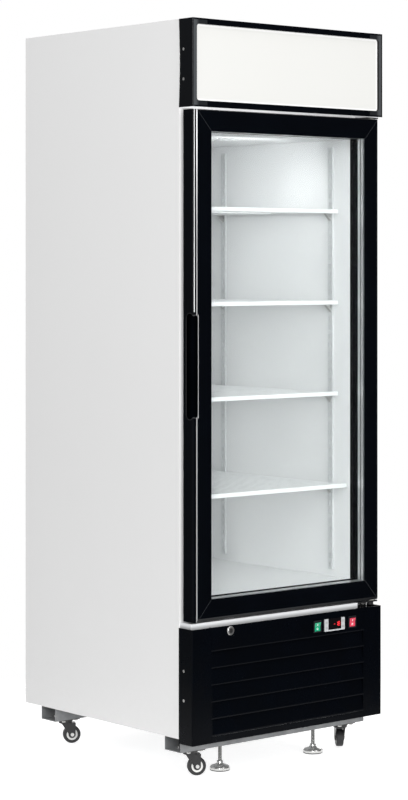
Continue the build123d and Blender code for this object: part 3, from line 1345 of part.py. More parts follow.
def compressor():
    """Sealed pot with a domed top, terminal box and pipe stubs, on a plate with four grommets."""
    wall_top = COMPRESSOR_BASE + COMPRESSOR_WALL_HEIGHT
    pot = along_z(COMPRESSOR_X, COMPRESSOR_Y, COMPRESSOR_BASE, wall_top, COMPRESSOR_RADIUS)
    dome = along_z(COMPRESSOR_X, COMPRESSOR_Y, wall_top, wall_top + COMPRESSOR_DOME, COMPRESSOR_RADIUS)
    dome = fillet(edges_at(dome, GeomType.CIRCLE, z=wall_top + COMPRESSOR_DOME), COMPRESSOR_DOME * 0.95)
    px, py = COMPRESSOR_PLATE_WIDTH / 2, COMPRESSOR_PLATE_DEPTH / 2
    plate = block(
        COMPRESSOR_X - px, COMPRESSOR_X + px, COMPRESSOR_Y - py, COMPRESSOR_Y + py,
        COMPRESSOR_BASE - COMPRESSOR_PLATE, COMPRESSOR_BASE,
    )
    grommets = [
        along_z(COMPRESSOR_X + gx, COMPRESSOR_Y + gy, PAN_TOP, PAN_TOP + GROMMET_HEIGHT, GROMMET_RADIUS)
        for gx in (GROMMET_INSET - px, px - GROMMET_INSET)
        for gy in (GROMMET_INSET - py, py - GROMMET_INSET)
    ]
    box_x, box_y, box_z = TERMINAL_BOX
    terminals = block(
        COMPRESSOR_X - box_x / 2, COMPRESSOR_X + box_x / 2,
        COMPRESSOR_Y + COMPRESSOR_RADIUS - box_y / 2, COMPRESSOR_Y + COMPRESSOR_RADIUS + box_y / 2,
        COMPRESSOR_BASE, COMPRESSOR_BASE + box_z,
    )
    reach = COMPRESSOR_RADIUS + PIPE_STUB
    discharge = along_x(COMPRESSOR_X, COMPRESSOR_X + reach, COMPRESSOR_Y, DISCHARGE_Z, PIPE_RADIUS)
    suction = along_x(COMPRESSOR_X - reach, COMPRESSOR_X, COMPRESSOR_Y, SUCTION_Z, PIPE_RADIUS)
    return pot + [dome, plate, terminals, discharge, suction] + grommets


save("compressor", compressor())


def pipe(*points):
    """Bent tube through the given points."""
    path = FilletPolyline(*points, radius=PIPE_BEND)
    return sweep(Plane(path @ 0, z_dir=path % 0) * Circle(PIPE_RADIUS), path=path)


stub_reach = COMPRESSOR_RADIUS + PIPE_STUB
discharge_x = CONDENSER_X1 + TUBE_STUB + DISCHARGE_RUN
tube_pitch = (CONDENSER_TOP - PAN_TOP) / TUBE_ROWS
condenser_middle = (CONDENSER_FRONT + CONDENSER_BACK) / 2
condenser_inlet = CONDENSER_TOP - tube_pitch / 2
discharge_pipe = pipe(
    (COMPRESSOR_X + stub_reach, COMPRESSOR_Y, DISCHARGE_Z),
    (discharge_x, COMPRESSOR_Y, DISCHARGE_Z),
    (discharge_x, condenser_middle, DISCHARGE_Z),
    (discharge_x, condenser_middle, condenser_inlet),
    (CONDENSER_X1 + TUBE_STUB, condenser_middle, condenser_inlet),
)
suction_x = COMPRESSOR_X - stub_reach - SUCTION_RUN
suction_pipe = pipe(
    (COMPRESSOR_X - stub_reach, COMPRESSOR_Y, SUCTION_Z),
    (suction_x, COMPRESSOR_Y, SUCTION_Z),
    (suction_x, COMPRESSOR_Y, DECK_TOP - DECK_SHEET),
)
save("pipework", discharge_pipe, suction_pipe)

# Castors

PLATE_BOTTOM = CASTOR_HEIGHT - CASTOR_PLATE
RACE_BOTTOM = PLATE_BOTTOM - RACE_HEIGHT
TURNTABLE_TOP = RACE_BOTTOM - RACE_GAP
TURNTABLE_BOTTOM = TURNTABLE_TOP - TURNTABLE_HEIGHT
BRIDGE_BOTTOM = TURNTABLE_BOTTOM - FORK_BRIDGE
LEG_INSIDE = WHEEL_WIDTH / 2 + WHEEL_SIDE_GAP
LEG_OUTSIDE = LEG_INSIDE + FORK_SHEET


def castor_plate():
    """Top plate with the upper bearing race, bored for the kingpin and the bolts."""
    px, py = CASTOR_PLATE_X / 2, CASTOR_PLATE_Y / 2
    plate = block(-px, px, -py, py, PLATE_BOTTOM, CASTOR_HEIGHT)
    race = along_z(0, 0, RACE_BOTTOM, PLATE_BOTTOM, RACE_RADIUS)
    bores = [
        along_z(x, y, PLATE_BOTTOM, CASTOR_HEIGHT, CASTOR_BOLT_RADIUS + SCREW_CLEARANCE)
        for x in (-BOLT_X, BOLT_X)
        for y in (-BOLT_Y, BOLT_Y)
    ]
    return plate + race - along_z(0, 0, RACE_BOTTOM, CASTOR_HEIGHT, KINGPIN_RADIUS + RUNNING) - bores


def castor_fork():
    """Turntable with its kingpin, and two legs that trail to the axle."""
    table = along_z(0, 0, TURNTABLE_BOTTOM, TURNTABLE_TOP, TURNTABLE_RADIUS)
    kingpin = along_z(0, 0, TURNTABLE_BOTTOM, CASTOR_HEIGHT - KINGPIN_SHORT, KINGPIN_RADIUS)
    rear = TRAIL + FORK_REAR
    bridge = block(-FORK_FRONT, rear, -LEG_OUTSIDE, LEG_OUTSIDE, BRIDGE_BOTTOM, TURNTABLE_BOTTOM)
    leg_shape = outline(
        (-FORK_FRONT, TURNTABLE_BOTTOM),
        (rear, TURNTABLE_BOTTOM),
        (TRAIL + FORK_EYE, WHEEL_RADIUS),
        (TRAIL - FORK_EYE, WHEEL_RADIUS),
    )
    leg_shape += Pos(TRAIL, WHEEL_RADIUS) * Circle(FORK_EYE)
    leg_shape -= Pos(TRAIL, WHEEL_RADIUS) * Circle(AXLE_RADIUS + RUNNING)
    legs = [solid_xz(leg_shape, -LEG_OUTSIDE, -LEG_INSIDE), solid_xz(leg_shape, LEG_INSIDE, LEG_OUTSIDE)]
    return table + [kingpin, bridge] + legs


def castor_axle():
    """Axle with a round head outside each leg."""
    end = LEG_OUTSIDE + AXLE_HEAD
    heads = [
        along_y(TRAIL, -end, -LEG_OUTSIDE, WHEEL_RADIUS, AXLE_HEAD_RADIUS),
        along_y(TRAIL, LEG_OUTSIDE, end, WHEEL_RADIUS, AXLE_HEAD_RADIUS),
    ]
    return along_y(TRAIL, -end, end, WHEEL_RADIUS, AXLE_RADIUS) + heads


def castor_wheel():
    """Hub on the axle, and the tyre round it."""
    half = WHEEL_WIDTH / 2
    hub = along_y(TRAIL, -half + HUB_INSET, half - HUB_INSET, WHEEL_RADIUS, HUB_RADIUS)
    hub -= along_y(TRAIL, -half, half, WHEEL_RADIUS, AXLE_RADIUS + RUNNING)
    tyre = along_y(TRAIL, -half, half, WHEEL_RADIUS, WHEEL_RADIUS)
    tyre = fillet(tyre.edges().filter_by(GeomType.CIRCLE), TYRE_FILLET)
    tyre -= along_y(TRAIL, -half, half, WHEEL_RADIUS, HUB_RADIUS + RUNNING)
    return [hub, tyre]


plate_piece = castor_plate()
fork_piece = castor_fork()
axle_piece = castor_axle()
wheel_pieces = castor_wheel()
save("castor_plates", *[Pos(x, y, 0) * plate_piece for x, y in CASTOR_SPOTS.values()])
for corner, (castor_x, castor_y) in CASTOR_SPOTS.items():
    place = Pos(castor_x, castor_y, 0) * Rot(0, 0, CASTOR_YAWS[corner])
    save(f"castor_fork_{corner}", place * fork_piece, place * axle_piece)
    save(f"castor_wheel_{corner}", *[place * piece for piece in wheel_pieces])

# Levelling feet

STEM_TOP = CABINET_BOTTOM - FOOT_TRAVEL - FOOT_END_ROOM


def levelling_foot(x, y):
    """Round pad with a domed top, a collar and a threaded stem."""
    shoulder = FOOT_RIM + FOOT_SHOULDER
    dome = shoulder + FOOT_DOME
    collar = dome + FOOT_COLLAR
    half = outline(
        (0, 0),
        (FOOT_RADIUS, 0),
        (FOOT_RADIUS, FOOT_RIM),
        (FOOT_RADIUS - FOOT_SHOULDER, shoulder),
        (FOOT_DOME_RADIUS, dome),
        (FOOT_COLLAR_RADIUS, dome + FOOT_DOME),
        (FOOT_COLLAR_RADIUS, collar),
        (FOOT_STEM_RADIUS, collar),
        (FOOT_STEM_RADIUS, STEM_TOP),
        (0, STEM_TOP),
    )
    return Pos(x, y, 0) * revolve(Plane.XZ * half, Axis.Z)


for side, spot in FOOT_SPOTS.items():
    save(f"levelling_foot_{side}", levelling_foot(*spot))

# Fasteners


def castor_bolt(x, y):
    """Hexagon bolt up through a castor plate into the rail."""
    hexagon = RegularPolygon(CASTOR_BOLT_HEAD_RADIUS, 6)
    head = solid_xy(hexagon, PLATE_BOTTOM - CASTOR_BOLT_HEAD, PLATE_BOTTOM)
    shank = along_z(0, 0, PLATE_BOTTOM, PLATE_BOTTOM + CASTOR_BOLT_REACH, CASTOR_BOLT_RADIUS)
    return Pos(x, y, 0) * (head + shank)


def foot_nut(x, y):
    """Hexagon nut on the rail's web that a foot's stem runs through."""
    level = CASTOR_HEIGHT + RAIL_SHEET
    sketch = RegularPolygon(NUT_RADIUS, 6) - Circle(FOOT_STEM_RADIUS + RUNNING)
    return Pos(x, y, 0) * solid_xy(sketch, level, level + NUT_HEIGHT)


def hinge_bolts():
    """Round bolt heads on the lower bracket's flange, and hexagon heads under its plate."""
    plate_bottom = LOWER_PLATE_TOP - LOWER_PLATE
    z = plate_bottom - LOWER_FLANGE_HEIGHT + HINGE_BOLT_EDGE
    middle = (LOWER_X0 + LOWER_X1) / 2
    face = FACE_Y - BRACKET_FLANGE
    heads = [
        along_y(middle + side * HINGE_BOLT_SPREAD, face - HINGE_BOLT_HEAD, face, z, HINGE_BOLT_RADIUS)
        for side in (-1, 1)
    ]
    hexagon = solid_xy(RegularPolygon(PLATE_BOLT_RADIUS, 6), plate_bottom - PLATE_BOLT_HEAD, plate_bottom)
    return heads + [Pos(LOWER_X0 + inset, HINGE_Y, 0) * hexagon for inset in PLATE_BOLT_INSETS]


right_screws = [flush_screw(*spot) for spot in CAP_SCREWS + KICK_SCREWS]
save(
    "fasteners",
    *right_screws,
    *[mirrored(screw) for screw in right_screws],
    *[castor_bolt(*spot) for spot in BOLT_SPOTS],
    *[foot_nut(*spot) for spot in FOOT_SPOTS.values()],
    *hinge_bolts(),
)
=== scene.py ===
"""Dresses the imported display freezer: finishes for every solid, extra detail, camera, light and floor."""
import json
import math

import bpy
import numpy as np
from bpy.props import FloatProperty, FloatVectorProperty, PointerProperty
from bpy.types import Operator, Panel, PropertyGroup
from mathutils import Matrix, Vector


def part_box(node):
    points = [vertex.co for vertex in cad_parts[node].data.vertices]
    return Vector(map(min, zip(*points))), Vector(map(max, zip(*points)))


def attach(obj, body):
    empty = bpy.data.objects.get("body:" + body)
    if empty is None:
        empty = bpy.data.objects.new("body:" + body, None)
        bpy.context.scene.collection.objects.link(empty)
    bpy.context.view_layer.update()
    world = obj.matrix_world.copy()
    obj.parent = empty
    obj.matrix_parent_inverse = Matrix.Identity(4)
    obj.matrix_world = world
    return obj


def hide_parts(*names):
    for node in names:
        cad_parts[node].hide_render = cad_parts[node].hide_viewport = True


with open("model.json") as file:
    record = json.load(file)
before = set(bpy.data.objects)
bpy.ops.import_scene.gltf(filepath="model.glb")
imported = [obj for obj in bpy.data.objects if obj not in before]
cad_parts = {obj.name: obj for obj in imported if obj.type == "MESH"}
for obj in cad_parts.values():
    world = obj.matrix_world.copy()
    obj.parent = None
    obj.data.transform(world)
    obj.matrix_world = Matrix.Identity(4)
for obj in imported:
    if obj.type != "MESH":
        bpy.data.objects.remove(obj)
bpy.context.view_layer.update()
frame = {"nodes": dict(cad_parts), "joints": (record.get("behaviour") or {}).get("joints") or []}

bl_info = {
    "name": "Display Freezer",
    "version": (1, 0, 0),
    "blender": (4, 5, 0),
    "location": "View3D > Sidebar > Freezer",
    "description": "Finishes, detail, camera and light for an upright glass-door freezer",
    "category": "Object",
}

NODES = frame["nodes"]
JOINTS = {joint["name"]: joint for joint in frame["joints"]}
CORNERS = ("front_left", "front_right", "rear_left", "rear_right")
ORIGIN = (0.0, 0.0, 0.0)
# Depth behind a piece's foremost point that still counts as its front face
FRONT_SKIN = 0.0004


# Sizes and colours that a user would change

def colour(name, description, default):
    """A linear colour setting."""
    return FloatVectorProperty(
        name=name, description=description, subtype="COLOR", size=3, min=0.0, max=1.0, default=default
    )


def length(name, description, default):
    """A length setting in metres."""
    return FloatProperty(
        name=name, description=description, subtype="DISTANCE", unit="LENGTH", default=default
    )


class FreezerColours(PropertyGroup):
    """Colours of the finishes, linear."""

    cabinet: colour("Cabinet paint", "Baked white paint on the outer sheets", (0.76, 0.76, 0.76))
    black: colour("Gloss black", "Black of door frame, canopy and kick panel", (0.0012, 0.0018, 0.0032))
    cap_front: colour("Canopy cap front", "Satin grey of the canopy's front corners", (0.06, 0.064, 0.068))
    liner: colour("Liner", "White plastic of the room", (0.81, 0.815, 0.82))
    wire: colour("Shelf wire", "White coating of the shelves", (0.8, 0.81, 0.815))
    zinc: colour("Zinc", "Plated brackets, screws and feet", (0.62, 0.62, 0.61))
    sheet: colour("Galvanised sheet", "Bare sheet of rails, pan and back", (0.42, 0.43, 0.44))
    sill: colour("Sill", "Satin strip under the door", (0.67, 0.68, 0.69))
    green: colour("Green rocker", "Lens of the green switch", (0.01, 0.33, 0.17))
    red: colour("Red rocker", "Lens of the red switch", (0.68, 0.055, 0.1))
    digits: colour("Digits", "Lit segments of the display", (1.0, 0.03, 0.04))
    bezel: colour("Controller bezel", "Light grey plastic of the controller", (0.52, 0.53, 0.54))
    glass: colour("Glass", "Tint of the door's panes", (0.975, 0.985, 0.985))


class FreezerSizes(PropertyGroup):
    """Sizes of the stage."""

    lens: FloatProperty(name="Lens", description="Focal length on a 36 mm sensor", default=104.2, min=1.0)
    camera_x: length("Camera X", "Camera's place to the right", -4.2657)
    camera_y: length("Camera Y", "Camera's place to the back", -5.0287)
    camera_z: length("Camera Z", "Camera's height", 1.364)
    camera_turn: FloatProperty(
        name="Camera turn", description="Heading of the camera", subtype="ANGLE",
        default=math.radians(-40.353),
    )
    shift: FloatProperty(name="Shift", description="Vertical shift of the frame", default=-0.16745)
    floor_radius: length("Floor radius", "Radius of the floor disc", 1.25)


# Node helpers

class Graph:
    """Adds nodes to one tree and links them."""

    def __init__(self, tree):
        self.tree = tree

    def add(self, kind, inputs=None, **settings):
        """A new node with its settings and inputs."""
        node = self.tree.nodes.new(kind)
        for key, value in settings.items():
            setattr(node, key, value)
        self.feed(node, inputs or {})
        return node

    def feed(self, node, inputs):
        """Sets inputs of a node: each is a value or the socket that feeds it."""
        for key, value in inputs.items():
            if isinstance(value, bpy.types.NodeSocket):
                self.tree.links.new(value, node.inputs[key])
            else:
                node.inputs[key].default_value = value

    def math(self, operation, first, second=0.0, third=0.0):
        """One step of arithmetic."""
        return self.add("ShaderNodeMath", {0: first, 1: second, 2: third}, operation=operation).outputs[0]

    def product(self, first, *others):
        """Several masks multiplied."""
        for other in others:
            first = self.math("MULTIPLY", first, other)
        return first

    def ramp(self, value, low, high, to_low=0.0, to_high=1.0):
        """Maps a range of values to another, clamped."""
        node = self.add(
            "ShaderNodeMapRange",
            {"Value": value, "From Min": low, "From Max": high, "To Min": to_low, "To Max": to_high},
        )
        return node.outputs["Result"]

    def inside(self, value, low, high):
        """1 where a value lies between two limits."""
        return self.product(self.math("GREATER_THAN", value, low), self.math("LESS_THAN", value, high))

    def mix(self, share, first, second):
        """Mixes two colours."""
        return self.add("ShaderNodeMix", {0: share, 6: first, 7: second}, data_type="RGBA").outputs[2]

    def noise(self, vector, scale, detail, roughness=0.5):
        """Soft noise from 0 to 1."""
        node = self.add(
            "ShaderNodeTexNoise",
            {"Vector": vector, "Scale": scale, "Detail": detail, "Roughness": roughness},
        )
        return node.outputs["Fac"]

    def place(self, location=ORIGIN, rotation=ORIGIN, scale=(1.0, 1.0, 1.0)):
        """Object coordinates seen from a frame at the given place."""
        source = self.add("ShaderNodeTexCoord").outputs["Object"]
        node = self.add(
            "ShaderNodeMapping",
            {"Vector": source, "Location": tuple(location), "Rotation": rotation, "Scale": scale},
            vector_type="TEXTURE",
        )
        return node.outputs["Vector"]

    def split(self, vector):
        """The three parts of a vector."""
        return self.add("ShaderNodeSeparateXYZ", {"Vector": vector}).outputs

    def dot(self, vector, direction):
        """How far a vector reaches along a direction."""
        node = self.add("ShaderNodeVectorMath", {0: vector, 1: direction}, operation="DOT_PRODUCT")
        return node.outputs["Value"]

    def radius(self, first, second):
        """Distance from an axis that two coordinates are square to."""
        squares = self.math("MULTIPLY", first, first)
        return self.math("SQRT", self.math("MULTIPLY_ADD", second, second, squares))

    def margin(self, value, half):
        """Distance inwards from the nearer end of a centred span."""
        return self.math("SUBTRACT", half, self.math("ABSOLUTE", value))


def rgba(values):
    """A colour with full alpha."""
    return (*values, 1.0)


def shade(tint, by):
    """A colour scaled by a factor."""
    return tuple(channel * by for channel in tint)


# Effects that the finishes share

FLOAT, COLOUR, VECTOR = "NodeSocketFloat", "NodeSocketColor", "NodeSocketVector"
KIND_BY_SIZE = {1: FLOAT, 3: VECTOR, 4: COLOUR}
BLEND_INPUTS = {
    "Vector": ORIGIN, "Scale": 8.0, "First": (0.8, 0.8, 0.8, 1.0), "Second": (0.7, 0.7, 0.7, 1.0),
    "Smooth": 0.3, "Rough": 0.4,
}
BLEND_OUTPUTS = {"Color": COLOUR, "Roughness": FLOAT}


def new_group(name, inputs, outputs):
    """An empty shader group: its graph, its input sockets and its output node.

    inputs gives each input's default, whose size tells its kind, and outputs gives each output's kind.
    """
    tree = bpy.data.node_groups.new(name, "ShaderNodeTree")
    for label, default in inputs.items():
        kind = KIND_BY_SIZE[np.size(default)]
        tree.interface.new_socket(name=label, in_out="INPUT", socket_type=kind).default_value = default
    for label, kind in outputs.items():
        tree.interface.new_socket(name=label, in_out="OUTPUT", socket_type=kind)
    graph = Graph(tree)
    return graph, graph.add("NodeGroupInput").outputs, graph.add("NodeGroupOutput")


def blend_group(graph, given, out, share):
    """Puts out two colours and two roughnesses, blended by a share."""
    graph.feed(out, {
        "Color": graph.mix(share, given["First"], given["Second"]),
        "Roughness": graph.ramp(share, 0.0, 1.0, given["Smooth"], given["Rough"]),
    })
    return graph.tree


def mottle_group():
    """Soft patches: noise chooses between two colours and between two roughnesses."""
    graph, given, out = new_group("Mottle", BLEND_INPUTS, BLEND_OUTPUTS)
    noise = graph.noise(given["Vector"], given["Scale"], detail=5.0, roughness=0.6)
    return blend_group(graph, given, out, graph.ramp(noise, 0.34, 0.66))


def spangle_group():
    """Zinc crystals: each cell of a Voronoi pattern takes its own tone and gloss."""
    graph, given, out = new_group("Spangle", BLEND_INPUTS, BLEND_OUTPUTS)
    cells = graph.add("ShaderNodeTexVoronoi", {"Vector": given["Vector"], "Scale": given["Scale"]})
    return blend_group(graph, given, out, graph.split(cells.outputs["Color"])["X"])


def peel_group():
    """Orange peel and moulded grain: two sizes of noise added."""
    graph, given, out = new_group("Peel", {"Vector": ORIGIN, "Scale": 600.0}, {"Height": FLOAT})
    fine = graph.noise(given["Vector"], given["Scale"], detail=2.0)
    broad = graph.noise(given["Vector"], graph.math("MULTIPLY", given["Scale"], 0.13), detail=2.0)
    graph.feed(out, {"Height": graph.math("MULTIPLY_ADD", broad, 0.6, fine)})
    return graph.tree


def brushed_group():
    """Fine lines: noise on coordinates that the material stretches along the grain."""
    graph, given, out = new_group(
        "Brushed",
        {"Vector": ORIGIN, "Smooth": 0.25, "Rough": 0.45},
        {"Roughness": FLOAT, "Height": FLOAT},
    )
    lines = graph.noise(given["Vector"], 900.0, detail=3.0, roughness=0.7)
    rough = graph.ramp(lines, 0.3, 0.7, given["Smooth"], given["Rough"])
    graph.feed(out, {"Height": lines, "Roughness": rough})
    return graph.tree


def dust_group():
    """Pale dust that thickens from a level down to the floor, broken up by noise."""
    graph, given, out = new_group(
        "Dust",
        {
            "Vector": ORIGIN, "Color": (0.5, 0.5, 0.5, 1.0), "Dust": (0.45, 0.43, 0.4, 1.0),
            "Level": 0.3, "Amount": 0.2,
        },
        {"Color": COLOUR},
    )
    noise = graph.noise(given["Vector"], 60.0, detail=6.0)
    height = graph.split(given["Vector"])["Z"]
    depth = graph.math("SUBTRACT", 1.0, graph.math("DIVIDE", height, given["Level"]))
    depth = graph.add("ShaderNodeClamp", {"Value": depth}).outputs[0]
    share = graph.product(depth, graph.ramp(noise, 0.35, 0.7), given["Amount"])
    graph.feed(out, {"Color": graph.mix(share, given["Color"], given["Dust"])})
    return graph.tree


GROUP_MAKERS = {
    "Mottle": mottle_group, "Spangle": spangle_group, "Peel": peel_group, "Brushed": brushed_group,
    "Dust": dust_group,
}
GROUPS = {}


class Finish(Graph):
    """One material: its nodes, its Principled shader and its object coordinates about a middle point."""

    def __init__(self, name, middle=ORIGIN):
        self.material = bpy.data.materials.new(name)
        self.material.use_nodes = True
        super().__init__(self.material.node_tree)
        self.shader = self.tree.nodes["Principled BSDF"]
        self.where = self.place(middle)
        self.base = None

    def set(self, inputs):
        """Sets inputs of the shader."""
        self.feed(self.shader, inputs)

    def colour_by(self, socket):
        """Makes a socket the base colour."""
        self.base = socket
        self.set({"Base Color": socket})

    def paint(self, mask, tint):
        """Lays a tint over the base colour where a mask is 1."""
        self.colour_by(self.mix(mask, self.base, rgba(tint)))

    def effect(self, name, inputs):
        """Places a shared effect, made at its first use, on the material's coordinates."""
        if name not in GROUPS:
            GROUPS[name] = GROUP_MAKERS[name]()
        inputs = {"Vector": self.where, **inputs}
        return self.add("ShaderNodeGroup", inputs, node_tree=GROUPS[name]).outputs

    def blend(self, first, second, scale, rough=(0.3, 0.4), pattern="Mottle"):
        """Base colour and roughness from two colours and two roughnesses in a pattern."""
        out = self.effect(pattern, {
            "Scale": scale, "First": rgba(first), "Second": rgba(second), "Smooth": rough[0],
            "Rough": rough[1],
        })
        self.colour_by(out["Color"])
        self.set({"Roughness": out["Roughness"]})
        return out["Roughness"]

    def dust(self, level, amount):
        """Dusts the base colour below a level."""
        dusted = self.effect("Dust", {"Color": self.base, "Level": level, "Amount": amount})
        self.colour_by(dusted["Color"])

    def bump(self, height, strength, distance):
        """Relief from a height."""
        node = self.add("ShaderNodeBump", {"Height": height, "Strength": strength, "Distance": distance})
        self.set({"Normal": node.outputs["Normal"]})

    def grain(self, scale, strength, distance=0.0004):
        """Relief of orange peel or moulded grain."""
        self.bump(self.effect("Peel", {"Scale": scale})["Height"], strength, distance)

    def lines(self, stretch, rough, strength):
        """Relief and roughness of fine lines along the axis with the largest stretch."""
        out = self.effect("Brushed", {
            "Vector": self.place(scale=stretch), "Smooth": rough[0], "Rough": rough[1],
        })
        self.set({"Roughness": out["Roughness"]})
        self.bump(out["Height"], strength, 0.0002)

    def dress(self, *names):
        """Puts the material on every slot of the named CAD nodes."""
        for name in names:
            mesh = NODES[name].data
            mesh.materials.clear()
            mesh.materials.append(self.material)


def coated(name, tint, rough, spread=0.06, patch=6.0, grain=700.0, relief=0.1, metal=0.0, specular=0.5,
           coat=0.0, dust=0.0, dust_level=0.35):
    """Paint or moulded plastic: mottled colour, varied gloss, fine grain, optional clear coat and dust."""
    look = Finish(name)
    look.blend(tint, shade(tint, 1.0 - spread), patch, rough)
    if dust:
        look.dust(dust_level, dust)
    look.set({
        "Metallic": metal, "Specular IOR Level": specular, "Coat Weight": coat, "Coat Roughness": 0.08,
    })
    look.grain(grain, relief)
    return look


def brushed(name, tint, rough, spread=0.12, stretch=(1.0, 1.0, 1.0)):
    """Bare metal with mottled colour and fine lines."""
    look = Finish(name)
    look.blend(tint, shade(tint, 1.0 - spread), 14.0)
    look.set({"Metallic": 1.0})
    look.lines(stretch, rough, 0.12)
    return look


def finned(node):
    """Aluminium with fins that stand across X, and painted shade in the gaps between them."""
    fins_per_metre, fin_share = 310.0, 0.45
    look = Finish(f"{node}_fins")
    wave = look.math("MULTIPLY", look.split(look.where)["X"], fins_per_metre)
    gap = look.math("GREATER_THAN", look.math("FRACT", wave), fin_share)
    look.blend((0.62, 0.63, 0.64), (0.5, 0.5, 0.5), 25.0)
    # Painted shade in the gaps between the fins
    look.paint(gap, (0.05, 0.05, 0.05))
    look.set({"Metallic": 0.9})
    look.bump(look.math("SUBTRACT", 1.0, gap), 0.5, 0.001)
    look.dress(node)


# New meshes from arrays

def grid_faces(rows, columns, close_rows=False, close_columns=False):
    """Corner numbers of the quads of a grid, optionally joined end to end either way."""
    row = np.arange(rows if close_rows else rows - 1)
    column = np.arange(columns if close_columns else columns - 1)
    r, c = np.meshgrid(row, column, indexing="ij")
    r2, c2 = (r + 1) % rows, (c + 1) % columns
    quads = np.stack([r * columns + c, r * columns + c2, r2 * columns + c2, r2 * columns + c], axis=-1)
    return quads.reshape(-1, 4)


def add_mesh(name, points, faces, material, smooth=True):
    """A mesh object at the origin from an array of points and arrays of faces."""
    mesh = bpy.data.meshes.new(name)
    corners = [face for group in faces for face in group.tolist()]
    mesh.from_pydata(points.reshape(-1, 3).tolist(), [], corners)
    mesh.materials.append(material)
    mesh.polygons.foreach_set("use_smooth", np.full(len(mesh.polygons), smooth))
    mesh.validate()
    mesh.update()
    piece = bpy.data.objects.new(name, mesh)
    bpy.context.scene.collection.objects.link(piece)
    return piece


def turned(radius, height, centre, close_low=True):
    """Points and faces of a shape turned about an upright axis.

    radius and height are grids of rows by columns: each column stands at its own angle round the axis, each
    row is one ring, and a last point on the axis closes the end (and one more the start, if asked).
    """
    rows, columns = radius.shape
    angle = np.linspace(0, 2 * np.pi, columns, endpoint=False)
    ring = np.stack([
        centre[0] + radius * np.cos(angle), centre[1] + radius * np.sin(angle), centre[2] + height,
    ], axis=-1).reshape(-1, 3)
    ends = np.array([[*centre[:2], centre[2] + height[row].mean()] for row in (-1, 0)])
    step = np.arange(columns)
    after = (step + 1) % columns
    last = (rows - 1) * columns
    faces = [
        grid_faces(rows, columns, close_columns=True),
        np.stack([np.full(columns, rows * columns), last + step, last + after], axis=1),
    ]
    if close_low:
        faces.append(np.stack([np.full(columns, rows * columns + 1), after, step], axis=1))
    return np.concatenate([ring, ends if close_low else ends[:1]]), faces


# Finishes, group by group

class FREEZER_OT_cabinet(Operator):
    """Paints the outer sheets, and gives rails, pan, back and sill their bare metal"""

    bl_idname = "freezer.cabinet"
    bl_label = "Cabinet Finishes"

    def execute(self, context):
        colours = context.scene.freezer_colours
        coated("cabinet_paint", colours.cabinet, rough=(0.3, 0.38), spread=0.015, patch=2.0, grain=520.0,
               relief=0.05, dust=0.05).dress("side_panel_left", "side_panel_right", "canopy_tray")
        coated("top_paint", colours.cabinet, rough=(0.55, 0.7), spread=0.04, patch=3.0, grain=420.0,
               relief=0.08, specular=0.25).dress("top_panel")
        self.sheet(colours.sheet)
        # The rails take two thirds of the bare sheet's colour: a dark grey steel, darkened further as painted
        # shade for the shadow they stand in
        coated("rail_sheet", shade(colours.sheet, 0.66), rough=(0.35, 0.5), spread=0.2, patch=30.0,
               metal=0.25).dress("base_rails")
        self.sill(colours.sill)
        coated("foam", (0.78, 0.72, 0.5), rough=(0.8, 0.95), spread=0.2, patch=30.0, grain=300.0,
               relief=0.4).dress("insulation")
        coated("breaker_plastic", (0.004, 0.004, 0.005), rough=(0.45, 0.6), spread=0.2, grain=900.0,
               specular=0.06).dress("breaker_strips")
        return {"FINISHED"}

    @staticmethod
    def sheet(tint):
        """Galvanised steel with zinc crystals and dust near the floor."""
        look = Finish("galvanised_sheet")
        look.blend(shade(tint, 1.2), shade(tint, 0.85), 110.0, rough=(0.36, 0.52), pattern="Spangle")
        look.dust(0.5, 0.25)
        look.set({"Metallic": 0.7})
        look.dress("back_panel", "base_pan", "condenser_shroud")

    @staticmethod
    def sill(tint):
        """Satin strip with a grain along X, and painted shade that darkens it towards its lower edge."""
        look = Finish("sill_satin")
        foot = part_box("kick_grille")[1].z
        share = look.ramp(look.split(look.where)["Z"], foot + 0.002, foot + 0.009)
        # Painted shade: half the tint at the lower edge, rising to the full tint a few millimetres up
        look.colour_by(look.mix(share, rgba(shade(tint, 0.5)), rgba(tint)))
        look.lines((60.0, 1.0, 1.0), (0.32, 0.48), 0.1)
        look.dress("sill_deck")


